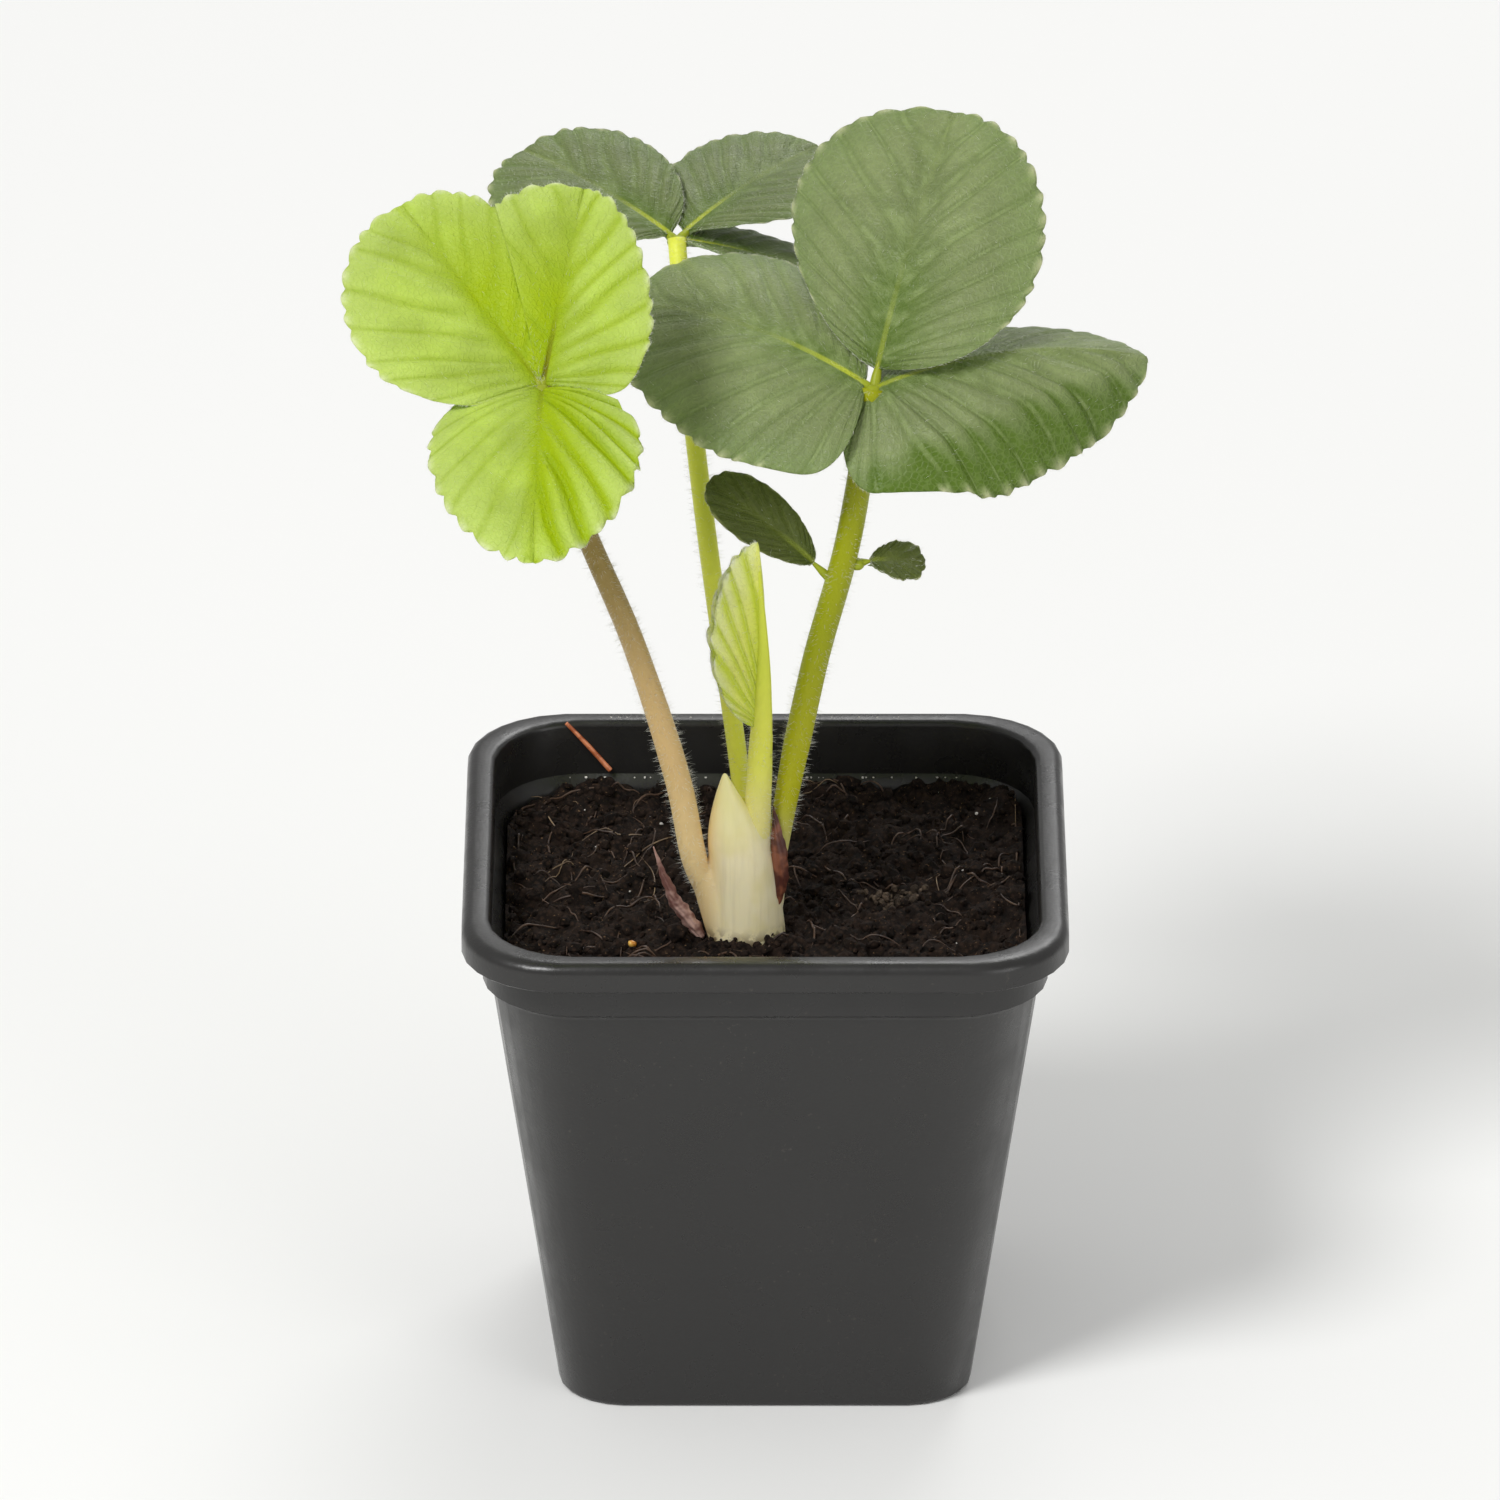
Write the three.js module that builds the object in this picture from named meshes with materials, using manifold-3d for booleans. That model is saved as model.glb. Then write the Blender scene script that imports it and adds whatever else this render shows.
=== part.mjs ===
// A young strawberry plant in a square plastic nursery pot filled with compost.
// Millimetres, +Z up. The origin is the middle of the pot's underside and +Y points away from the front.
// The plant is one crown with three open leaves, one folded new leaf and a pair of small extra leaflets.
import * as THREE from "three";
import { mergeVertices } from "three/addons/utils/BufferGeometryUtils.js";
import Module from "manifold-3d";

const wasm = await Module();
wasm.setup();

// Driving dimensions
const SMALLEST = 0.02; // detail finer than this is smoothed away
const GAP = 0.3; // clearance between neighbouring pieces
const POT_HEIGHT = 80;
const RIM_HALF = 45; // half the pot's width over the rim
const RIM_CORNER = 15; // corner radius of the rim seen from above
const SKIRT_DROP = 4.4; // how far the rolled rim hangs down outside
const LIP_WIDTH = 4.2; // rim's outer face to the inside of the wall
const LIP_ROUND = 1.7; // rounding of the rim's outer top edge
const INNER_ROUND = 0.9; // rounding of the rim's inner top edge
const WALL = 1.1;
const BASE_HALF = 31; // half the pot's width at the bottom
const BASE_CORNER = 10;
const BASE_BEVEL = 0.8;
const FLOOR = 1.2;
const LEDGE_BELOW_RIM = 9; // the stacking ledge inside the wall
const LEDGE_WIDTH = 1.4;
const DRAIN_RADIUS = 3.5;
const DRAIN_REACH = 21; // corner drain holes, from the middle along X and along Y
const SIDE_DRAIN_RADIUS = 2.5;
const SIDE_DRAIN_REACH = 23.5;
const GROOVE_WIDTH = 2.4;
const GROOVE_DEPTH = 0.6;
const GROOVE_START = 7; // grooves run from here out to the side drain holes
const SOIL_LEVEL = POT_HEIGHT - LEDGE_BELOW_RIM - 0.6;
const SOIL_EDGE = 3; // depth of the compost's side band below its level
const CORNER_STEPS = 5; // facets in a quarter of the rim
const CROWN_AT = [-3, -15]; // where the plant stands in the compost
const MOUND = 1.2; // how much the compost rises round the plant
const MOUND_SPREAD = 16;
const LUMPS = [
  // height of each swell, its rates along X and Y, and where it starts
  [0.5, 0.21, 0.16, 1.1],
  [0.4, -0.17, 0.24, 0.7],
  [0.45, 0.47, -0.36, 2],
  [0.3, 0.83, 0.71, 0.3],
];
const BLADE_THICKNESS = 0.7;
const RIB_THICKNESS = 0.7; // extra depth of the midrib under the blade, at its base
const HUB_RADIUS = 1.9; // the knot where the leaflets of a leaf meet
const STALK_HALF = 0.85; // half the width of a leaflet's own short stalk
const STALK_STEPS = 11;
const STALK_SIDES = 8;
const DRY_SHEATH_RADII = [1.3, 0.5]; // at the foot and at the tip
const PINK_SCALE_RADII = [1.1, 0.3];

const DEG = Math.PI / 180;
const UPWARD = new THREE.Vector3(0, 0, 1);
const COLOURS = {
  pot: 0x2b2c2c,
  compost: 0x2a211b,
  crown: 0xe0dba8,
  stipule: 0x8a5236,
  scale: 0xc98f8f,
  tanStalk: 0xc8b078,
  greenStalk: 0xa9b52c,
  darkLeaf: 0x6c8650,
  darkSmallLeaf: 0x4d6a35,
  youngLeaf: 0xb2cc45,
  newLeaf: 0xb9d35c,
};

function material(colour, roughness) {
  return new THREE.MeshStandardMaterial({ color: colour, roughness, metalness: 0 });
}

// Solids for joining and cutting
function toSolid(geometry) {
  const bare = new THREE.BufferGeometry()
    .setAttribute("position", geometry.getAttribute("position").clone())
    .setIndex(geometry.index);
  const merged = mergeVertices(bare, 1e-4);
  return new wasm.Manifold(
    new wasm.Mesh({
      numProp: 3,
      vertProperties: new Float32Array(merged.attributes.position.array),
      triVerts: new Uint32Array(merged.index.array),
    }),
  );
}

function toGeometry(solid) {
  const found = solid.getMesh();
  const position = new Float32Array(found.numVert * 3);
  for (let i = 0; i < found.numVert; i++)
    position.set(found.vertProperties.subarray(i * found.numProp, i * found.numProp + 3), i * 3);
  const geometry = new THREE.BufferGeometry()
    .setAttribute("position", new THREE.BufferAttribute(position, 3))
    .setIndex(new THREE.BufferAttribute(found.triVerts, 1));
  geometry.computeVertexNormals();
  return geometry;
}

// Fills the small pockets shut in where leaflets cross at their bases.
function withoutPockets(solid) {
  const outside = solid.decompose().filter((piece) => piece.volume() > 0);
  return outside.reduce((sum, piece) => sum.add(piece));
}

// A closed skin over rings of points.
// Each ring runs anticlockwise as seen from the end that the rings lead to.
function loft(rings) {
  const count = rings[0].length;
  const points = rings.flat();
  const index = [];
  for (let r = 0; r + 1 < rings.length; r++)
    for (let i = 0; i < count; i++) {
      const j = (i + 1) % count;
      const [a, b, c, d] = [r * count + i, r * count + j, (r + 1) * count + j, (r + 1) * count + i];
      index.push(a, b, c, a, c, d);
    }
  const middle = (ring) => ring.reduce((sum, p) => sum.add(p), new THREE.Vector3()).divideScalar(count);
  const last = (rings.length - 1) * count;
  points.push(middle(rings[0]), middle(rings[rings.length - 1]));
  for (let i = 0; i < count; i++) {
    const j = (i + 1) % count;
    index.push(points.length - 2, j, i, points.length - 1, last + i, last + j);
  }
  return new THREE.BufferGeometry().setFromPoints(points).setIndex(index);
}

// A square with round corners, seen from above, at one height.
function squareRing(half, corner, z) {
  const ring = [];
  for (let quarter = 0; quarter < 4; quarter++) {
    const turn = (quarter * Math.PI) / 2;
    const [cx, cy] = [half - corner, half - corner];
    for (let k = 0; k <= CORNER_STEPS; k++) {
      const a = ((k / CORNER_STEPS) * Math.PI) / 2;
      const point = new THREE.Vector3(cx + corner * Math.cos(a), cy + corner * Math.sin(a), z);
      ring.push(point.applyAxisAngle(UPWARD, turn));
    }
  }
  return ring;
}

const LEDGE_TOP = POT_HEIGHT - LEDGE_BELOW_RIM;
const INNER_TOP = RIM_HALF - LIP_WIDTH; // inside of the wall above the ledge
const INNER_LEDGE = INNER_TOP - LEDGE_WIDTH; // inside of the wall just below the ledge
const INNER_BASE = BASE_HALF - WALL;
const cornerAt = (half) =>
  BASE_CORNER + ((RIM_CORNER - BASE_CORNER) * (half - BASE_HALF)) / (RIM_HALF - BASE_HALF);
const LEDGE_FOOT = LEDGE_TOP - LEDGE_WIDTH;
const innerHalfAt = (z) =>
  INNER_BASE + ((INNER_LEDGE - INNER_BASE) * (z - FLOOR)) / (LEDGE_FOOT - FLOOR);

function quarterRound(half, z, radius, steps) {
  return Array.from({ length: steps + 1 }, (_, k) => {
    const a = ((k / steps) * Math.PI) / 2;
    return [half - radius * (1 - Math.cos(a)), z - radius * (1 - Math.sin(a))];
  });
}

// The wall's section, as half width and height, from the foot up the outside,
// over the rim and down the inside.
function potShell() {
  const profile = [
    [BASE_HALF - BASE_BEVEL, 0],
    [BASE_HALF, BASE_BEVEL],
    [INNER_LEDGE + WALL, LEDGE_FOOT - WALL / 2],
    [INNER_TOP + WALL, LEDGE_TOP - WALL / 2],
    [INNER_TOP + WALL, POT_HEIGHT - LIP_ROUND],
    [RIM_HALF - WALL, POT_HEIGHT - LIP_ROUND],
    [RIM_HALF - WALL, POT_HEIGHT - SKIRT_DROP],
    [RIM_HALF, POT_HEIGHT - SKIRT_DROP],
    ...quarterRound(RIM_HALF, POT_HEIGHT, LIP_ROUND, 3),
    [INNER_TOP + INNER_ROUND, POT_HEIGHT],
    [INNER_TOP, POT_HEIGHT - INNER_ROUND],
    [INNER_TOP, LEDGE_TOP],
    [INNER_LEDGE, LEDGE_FOOT],
    [INNER_BASE, FLOOR],
  ];
  return loft(profile.map(([half, z]) => squareRing(half, cornerAt(half), z)));
}

function drainCutter(radius, x, y) {
  const pin = new THREE.CylinderGeometry(radius, radius, FLOOR + 2, 16);
  pin.rotateX(Math.PI / 2).translate(x, y, FLOOR / 2);
  return toSolid(pin);
}

function grooveCutter(turn) {
  const run = SIDE_DRAIN_REACH - GROOVE_START;
  const groove = new THREE.BoxGeometry(run, GROOVE_WIDTH, GROOVE_DEPTH * 2);
  groove.translate(GROOVE_START + run / 2, 0, 0).rotateZ(turn);
  return toSolid(groove);
}

function pot() {
  let body = toSolid(potShell());
  for (let side = 0; side < 4; side++) {
    const turn = (side * Math.PI) / 2;
    const [cos, sin] = [Math.round(Math.cos(turn)), Math.round(Math.sin(turn))];
    const corner = drainCutter(DRAIN_RADIUS, DRAIN_REACH * (cos - sin), DRAIN_REACH * (sin + cos));
    const middle = drainCutter(SIDE_DRAIN_RADIUS, SIDE_DRAIN_REACH * cos, SIDE_DRAIN_REACH * sin);
    body = body.subtract(corner).subtract(middle).subtract(grooveCutter(turn));
  }
  return body;
}

// Compost: a block that fits inside the pot, with a lumpy top
function soilHeight(x, y) {
  const lumps = LUMPS.reduce((sum, [high, alongX, alongY, start]) => {
    return sum + high * Math.sin(alongX * x + alongY * y + start);
  }, 0);
  const away = (x - CROWN_AT[0]) ** 2 + (y - CROWN_AT[1]) ** 2;
  return SOIL_LEVEL + lumps + MOUND * Math.exp(-away / MOUND_SPREAD ** 2);
}

function compost() {
  const topHalf = innerHalfAt(SOIL_LEVEL - SOIL_EDGE) - GAP;
  const rings = [
    squareRing(INNER_BASE - GAP, cornerAt(INNER_BASE), FLOOR + GAP),
    squareRing(topHalf, cornerAt(topHalf), SOIL_LEVEL - SOIL_EDGE),
  ];
  const steps = 7;
  for (let k = 0; k < steps; k++) {
    const size = (topHalf - (k ? 0 : 0.4)) * (1 - (k / steps) ** 1.15);
    const ring = squareRing(size, Math.min(cornerAt(topHalf), size * (0.36 + 0.07 * k)), 0);
    ring.forEach((p) => p.setZ(soilHeight(p.x, p.y) - (k ? 0 : 0.5)));
    rings.push(ring);
  }
  return toSolid(loft(rings));
}

// Round stalks: rings of a given radius along a smooth curve
function along(points) {
  return new THREE.CatmullRomCurve3(points.map((p) => new THREE.Vector3(...p)), false, "centripetal");
}

function stalk(curve, radiusAt, steps, sides, from = 0, to = 1) {
  const side = new THREE.Vector3();
  const front = new THREE.Vector3();
  const rings = [];
  for (let k = 0; k <= steps; k++) {
    const t = from + ((to - from) * k) / steps;
    const middle = curve.getPointAt(t);
    const way = curve.getTangentAt(t);
    side.set(1, 0, 0).addScaledVector(way, -way.x).normalize();
    front.crossVectors(way, side);
    const ring = [];
    for (let i = 0; i < sides; i++) {
      const a = (i / sides) * 2 * Math.PI;
      ring.push(
        middle
          .clone()
          .addScaledVector(side, radiusAt(t) * Math.cos(a))
          .addScaledVector(front, radiusAt(t) * Math.sin(a)),
      );
    }
    rings.push(ring);
  }
  return loft(rings);
}

// Leaf stalks, each from its seat in the crown up to the knot of its leaf.
// Their radii are those at the foot, in the middle and at the top.
const LEFT_KNOT = [-32.6, -28, 165.7];
const RIGHT_KNOT = [15.8, -8, 156.8];
const BACK_KNOT = [-13.2, 28, 165.3];
const NEW_KNOT = [-0.4, -16, 110];
const STALKS = {
  left_leaf_stalk: {
    points: [
      [-5.8, -15.8, 74], [-8.6, -16.6, 82], [-12.5, -17.6, 98],
      [-19.2, -19.6, 120], [-27.3, -23, 143], LEFT_KNOT,
    ],
    radii: [1.9, 1.85, 1.6],
    colour: COLOURS.tanStalk,
  },
  right_leaf_stalk: {
    points: [[1.6, -14, 83], [3, -13.6, 92], [7.1, -12, 113], [12.4, -10.2, 134], RIGHT_KNOT],
    radii: [1.7, 1.7, 1.6],
    colour: COLOURS.greenStalk,
  },
  back_leaf_stalk: {
    points: [[-2.6, -12.2, 83], [-4, -9.4, 97], [-7.2, -1, 118], [-10.7, 12, 142], BACK_KNOT],
    radii: [1.4, 1.4, 1.4],
    colour: COLOURS.greenStalk,
  },
  new_leaf_stalk: {
    points: [[-1.6, -15.8, 80], [-1.1, -16, 92], NEW_KNOT],
    radii: [1.5, 1.5, 1.4],
    colour: COLOURS.greenStalk,
  },
};

function stalkRadius(radii, t) {
  const [foot, middle, top] = radii;
  return t < 0.5 ? foot + (middle - foot) * t * 2 : middle + (top - middle) * (t * 2 - 1);
}

function leafStalk({ points, radii }, extra = 0) {
  const curve = along(points);
  const free = 1 - (HUB_RADIUS + GAP) / curve.getLength();
  const radius = (t) => stalkRadius(radii, t) + extra;
  return toSolid(stalk(curve, radius, STALK_STEPS, STALK_SIDES, 0, extra ? 1 : free));
}

// Crown: the short thick stem, half buried, with the pale sheath that wraps the new leaf's stalk
function ovalRing([z, x, y, halfX, halfY], sides) {
  const ring = [];
  for (let i = 0; i < sides; i++) {
    const a = (i / sides) * 2 * Math.PI;
    ring.push(new THREE.Vector3(x + halfX * Math.cos(a), y + halfY * Math.sin(a), z));
  }
  return ring;
}

// Each ring is its height, the X and Y of its middle, and half its width along X and Y.
const CROWN_RINGS = [
  [50, -3, -14.5, 1.6, 1.6],
  [54, -3, -14.5, 4.0, 3.8],
  [62, -3, -14.8, 5.4, 5.0],
  [71, -3, -15.0, 5.8, 5.2],
  [77, -3, -15.1, 5.7, 5.0],
  [83, -2.5, -14.9, 4.9, 4.6],
  [88, -1.9, -14.6, 4.1, 4.1],
  [91, -1.6, -14.4, 3.5, 3.7],
];
const SHEATH_RINGS = [
  [72, -3.2, -16.4, 4.0, 3.2],
  [80, -3.8, -17.4, 3.6, 2.4],
  [86, -4.4, -17.6, 3.0, 1.9],
  [91, -5.0, -17.6, 2.0, 1.4],
  [95, -5.5, -17.4, 1.1, 0.9],
  [98.5, -5.8, -17.2, 0.4, 0.4],
];

function crown() {
  let body = toSolid(loft(CROWN_RINGS.map((ring) => ovalRing(ring, 16))));
  body = body.add(toSolid(loft(SHEATH_RINGS.map((ring) => ovalRing(ring, 12)))));
  for (const spec of Object.values(STALKS)) body = body.subtract(leafStalk(spec, GAP));
  return body.subtract(taper(DRY_SHEATH_CURVE, DRY_SHEATH_RADII, GAP));
}

function crownHole() {
  const buried = CROWN_RINGS.filter(([z]) => z < POT_HEIGHT);
  const wider = buried.map(([z, x, y, halfX, halfY]) => [z, x, y, halfX + GAP, halfY + GAP]);
  wider[0][0] -= GAP;
  return toSolid(loft(wider.map((ring) => ovalRing(ring, 16))));
}

// A brown dry sheath held against the crown, and a pink scale standing in the compost
const DRY_SHEATH_CURVE = along([
  [3.4, -18.6, 74.5], [3, -18.4, 80], [2.6, -17.6, 86], [2.9, -16.8, 91.5],
]);
const PINK_SCALE_CURVE = along([
  [-10.6, -19, 68], [-12.4, -18.6, 74], [-14.6, -18, 78.5], [-16, -17.6, 84],
]);

function taper(curve, [foot, tip], extra = 0) {
  return toSolid(stalk(curve, (t) => foot * (1 - t) + tip * t + extra, 6, 7));
}

// Leaflets. Each is described by these values:
// - length along the midrib, and left and right half widths as seen from the base
// - heading, the midrib's compass angle from +X, and rise, its slope
// - roll, which turns the blade's right side down, and droop, which bends the midrib down
// - fold, which lifts both halves from the midrib, and cup, which bends their margins down
// - bluntness of each side: 1 is broad at the base and 1.5 is wedge shaped
// - lobe of each side: how far the margin swings back behind the base
// - teeth on each side, tooth for their size, pleat for the folds between the side veins
const TOOTH_TIP = 0.62; // where a tooth's tip stands in its share of the margin
const TOOTHED_FROM = 0.3; // share of the margin, from the base, that has no teeth
const LOBED_TO = 0.36; // share of the margin, from the base, that a lobe takes up

function toothReach(share) {
  const f = share - Math.floor(share);
  return f < TOOTH_TIP
    ? Math.sin(((Math.PI / 2) * f) / TOOTH_TIP) ** 0.8
    : (1 - (f - TOOTH_TIP) / (1 - TOOTH_TIP)) ** 0.7;
}

function leafletFrame({ heading, rise, roll }) {
  const [a, r, o] = [heading * DEG, rise * DEG, roll * DEG];
  const way = new THREE.Vector3(Math.cos(a) * Math.cos(r), Math.sin(a) * Math.cos(r), Math.sin(r));
  const level = new THREE.Vector3(-Math.cos(a) * Math.sin(r), -Math.sin(a) * Math.sin(r), Math.cos(r));
  const up = level.clone().multiplyScalar(Math.cos(o));
  up.addScaledVector(new THREE.Vector3().crossVectors(way, level), Math.sin(o));
  return { way, up, right: new THREE.Vector3().crossVectors(way, up) };
}

// The blade's middle surface: u runs from base to tip, v from -1 at the left margin to 1 at the right.
function leafletPoint(s, frame, u, v) {
  const half = v < 0 ? s.left : s.right;
  const bluntness = v < 0 ? s.bluntLeft : s.bluntRight;
  const lobe = v < 0 ? s.lobeLeft : s.lobeRight;
  const w = Math.abs(v);
  const ribAt = s.length * u ** 3;
  let out = half * Math.sin(Math.PI * u ** bluntness);
  let on = s.length * ((1 - Math.cos(Math.PI * u)) / 2) ** 1.15;
  if (u < LOBED_TO) on -= lobe * Math.sin((Math.PI * u) / LOBED_TO) ** 2;
  const toothed = (u - TOOTHED_FROM) / (1 - TOOTHED_FROM);
  const share = s.teeth * toothed + TOOTH_TIP;
  if (toothed > 0) {
    const reach = 0.5 * (s.left + s.right) * s.tooth * Math.min(1, toothed * 6) * toothReach(share);
    const span = Math.hypot(out, on - ribAt) || 1;
    const [dx, dy] = u > 0.97 ? [(out / span) * 0.5, 0.8] : [out / span, (on - ribAt) / span];
    out += dx * reach;
    on += dy * reach;
  }
  const across = out * w;
  const onward = ribAt + (on - ribAt) * w ** 1.1;
  const angle = (s.fold - (s.cup * across) / (2 * Math.max(s.left, s.right))) * DEG;
  const ripple = -s.pleat * w ** 0.8 * (1 - 0.5 * w) * Math.cos(2 * Math.PI * (share - TOOTH_TIP));
  const lift = ripple * (toothed > 0 ? 1 : Math.max(0, 1 + 4 * toothed));
  const bend = s.droop * DEG;
  const t = onward / s.length;
  const up = across * Math.sin(angle) + lift;
  return frame.start
    .clone()
    .addScaledVector(frame.way, (s.length / bend) * Math.sin(bend * t) + up * Math.sin(bend * t))
    .addScaledVector(frame.up, (-s.length / bend) * (1 - Math.cos(bend * t)) + up * Math.cos(bend * t))
    .addScaledVector(frame.right, Math.sign(v) * across * Math.cos(angle));
}

function leafletShell(knot, s) {
  const frame = leafletFrame(s);
  frame.start = new THREE.Vector3(...knot).addScaledVector(frame.way, s.stalk);
  const rows = [0.05, 0.11, 0.19, TOOTHED_FROM];
  for (let k = 1; k <= s.teeth; k++)
    rows.push(...[-TOOTH_TIP, 0].map((f) => TOOTHED_FROM + ((1 - TOOTHED_FROM) * (k + f)) / s.teeth));
  rows.pop();
  const columns = [-1, -0.5, 0, 0.5, 1];
  const step = 1e-3;
  const points = [];
  const pair = (middle, normal, upper, lower) => {
    points.push(middle.clone().addScaledVector(normal, upper));
    points.push(middle.clone().addScaledVector(normal, -lower));
  };
  for (const v of columns) {
    const foot = frame.start.clone().addScaledVector(frame.way, -s.stalk);
    const deep = STALK_HALF * 0.8;
    pair(foot.addScaledVector(frame.right, v * STALK_HALF), frame.up, deep, deep);
  }
  for (const u of rows)
    for (const v of columns) {
      const middle = leafletPoint(s, frame, u, v);
      const onward = leafletPoint(s, frame, u + step, v).sub(leafletPoint(s, frame, u - step, v));
      const outward = leafletPoint(s, frame, u, v + step).sub(leafletPoint(s, frame, u, v - step));
      const normal = outward.cross(onward).normalize();
      const rib = v ? 0 : RIB_THICKNESS * (1 - u);
      pair(middle, normal, s.thick / 2, s.thick / 2 + rib);
    }
  pair(leafletPoint(s, frame, 1, 0), frame.up, s.thick / 2, s.thick / 2);
  const wide = columns.length;
  const at = (row, column, under) => 2 * (row * wide + column) + under;
  const index = [];
  const quad = (a, b, c, d) => index.push(a, b, c, a, c, d);
  for (let row = 0; row < rows.length; row++)
    for (let c = 0; c + 1 < wide; c++) {
      quad(at(row, c, 0), at(row, c + 1, 0), at(row + 1, c + 1, 0), at(row + 1, c, 0));
      index.push(at(row, c, 1), at(row + 1, c + 1, 1), at(row, c + 1, 1));
      index.push(at(row, c, 1), at(row + 1, c, 1), at(row + 1, c + 1, 1));
    }
  for (let row = 0; row < rows.length; row++) {
    quad(at(row, 0, 1), at(row, 0, 0), at(row + 1, 0, 0), at(row + 1, 0, 1));
    quad(at(row, wide - 1, 0), at(row, wide - 1, 1), at(row + 1, wide - 1, 1), at(row + 1, wide - 1, 0));
  }
  const top = rows.length;
  const tip = 2 * (top + 1) * wide;
  for (let c = 0; c + 1 < wide; c++) {
    index.push(at(top, c, 0), at(top, c + 1, 0), tip, at(top, c + 1, 1), at(top, c, 1), tip + 1);
    quad(at(0, c, 1), at(0, c + 1, 1), at(0, c + 1, 0), at(0, c, 0));
  }
  index.push(at(top, 0, 1), at(top, 0, 0), tip, at(top, 0, 1), tip, tip + 1);
  index.push(at(top, wide - 1, 0), at(top, wide - 1, 1), tip + 1, at(top, wide - 1, 0), tip + 1, tip);
  return new THREE.BufferGeometry().setFromPoints(points).setIndex(index);
}

const LEAFLET = {
  stalk: 1.4,
  teeth: 9,
  tooth: 0.07,
  pleat: 0.5,
  thick: BLADE_THICKNESS,
  bluntLeft: 1.3,
  bluntRight: 1.3,
  lobeLeft: 0,
  lobeRight: 0,
  roll: 0,
};
const leaflet = (values) => ({ ...LEAFLET, ...values });

const RIGHT_LEAF = [
  leaflet({
    heading: 70, rise: 50, droop: 22, length: 43.5, left: 20, right: 19.5,
    fold: 10, cup: 30, bluntLeft: 1.4, bluntRight: 1, stalk: 3,
  }),
  leaflet({
    heading: 156, rise: 24, roll: -23, droop: 44, length: 43.5, left: 19.5, right: 18,
    fold: 5, cup: 40, bluntLeft: 0.68, bluntRight: 1.5, lobeLeft: 6.5,
  }),
  leaflet({
    heading: 10, rise: 21, roll: 17, droop: 44, length: 42.5, left: 13.5, right: 21,
    fold: -17, cup: 20, bluntLeft: 1.3, bluntRight: 0.7, lobeRight: 7,
  }),
];
const LEFT_LEAF = [
  leaflet({
    heading: -92, rise: -5, droop: 40, length: 32.5, left: 14.6, right: 15.4,
    fold: 10, cup: 30, bluntLeft: 0.9, bluntRight: 0.9,
  }),
  leaflet({
    heading: 133, rise: 37, roll: -20, droop: 10, length: 34.3, left: 20, right: 13,
    fold: 15, cup: 20, bluntLeft: 1, lobeLeft: 0.5,
  }),
  leaflet({
    heading: 75, rise: 42, roll: 10, droop: 10, length: 29, left: 14, right: 14,
    fold: 15, cup: 20, bluntLeft: 1.4, bluntRight: 0.7, lobeRight: 1.5,
  }),
];
const BACK_LEAF = [
  leaflet({
    heading: 54, rise: 11, droop: 15, length: 33.5, left: 13, right: 16,
    fold: 15, cup: 30, stalk: 2.5,
  }),
  leaflet({
    heading: 140, rise: 18, roll: -10, droop: 16, length: 29.5, left: 15, right: 13,
    fold: 12, cup: 30,
  }),
  leaflet({
    heading: 12, rise: -14, droop: 16, length: 28, left: 12, right: 9,
    fold: 12, cup: 30, bluntRight: 1.5,
  }),
];
// The new leaf's three leaflets are folded shut along their midribs and stand side by side like pages.
const FOLDED = leaflet({ teeth: 7, pleat: 0.35, rise: 86, cup: 0, bluntLeft: 1.2, bluntRight: 1.2 });
const folded = (values) => ({ ...FOLDED, ...values });
const NEW_LEAF = [
  folded({ heading: 0, droop: -14, length: 24.3, left: 8.8, right: 8.8, fold: 81 }),
  folded({ heading: 30, droop: -16, length: 21.5, left: 7.6, right: 7.6, fold: 82 }),
  folded({ heading: -30, droop: -12, length: 22.5, left: 8, right: 8, fold: 82 }),
];
const NEW_HUB_RADIUS = 1.7;
const EXTRA_HUB_RADIUS = 0.7;
const EXTRA_KNOTS = { left: [9.9, -11.2, 127.5], right: [13.5, -10.4, 130] };
const EXTRA_LEFT = leaflet({
  heading: 168, rise: 40, roll: -40, droop: 16, length: 19.5, left: 5, right: 4.6,
  fold: 14, cup: 10, teeth: 5, pleat: 0.2, stalk: 3.6,
});
const EXTRA_RIGHT = leaflet({
  heading: 0, rise: 4, roll: 30, droop: 24, length: 8, left: 3.2, right: 3.4,
  fold: 8, cup: 10, teeth: 3, tooth: 0.16, pleat: 0.1, stalk: 2,
});

function blades(knot, leaflets, hubRadius = HUB_RADIUS) {
  const hub = new THREE.IcosahedronGeometry(hubRadius, 1).translate(...knot);
  const index = [...Array(hub.getAttribute("position").count).keys()];
  const shells = leaflets.map((one) => toSolid(leafletShell(knot, one)));
  return withoutPockets(shells.reduce((sum, shell) => sum.add(shell), toSolid(hub.setIndex(index))));
}

// The object
const plant = new THREE.Group();

function add(name, solid, colour, roughness) {
  const mesh = new THREE.Mesh(toGeometry(solid.simplify(SMALLEST)), material(colour, roughness));
  mesh.name = name;
  plant.add(mesh);
}

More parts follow.
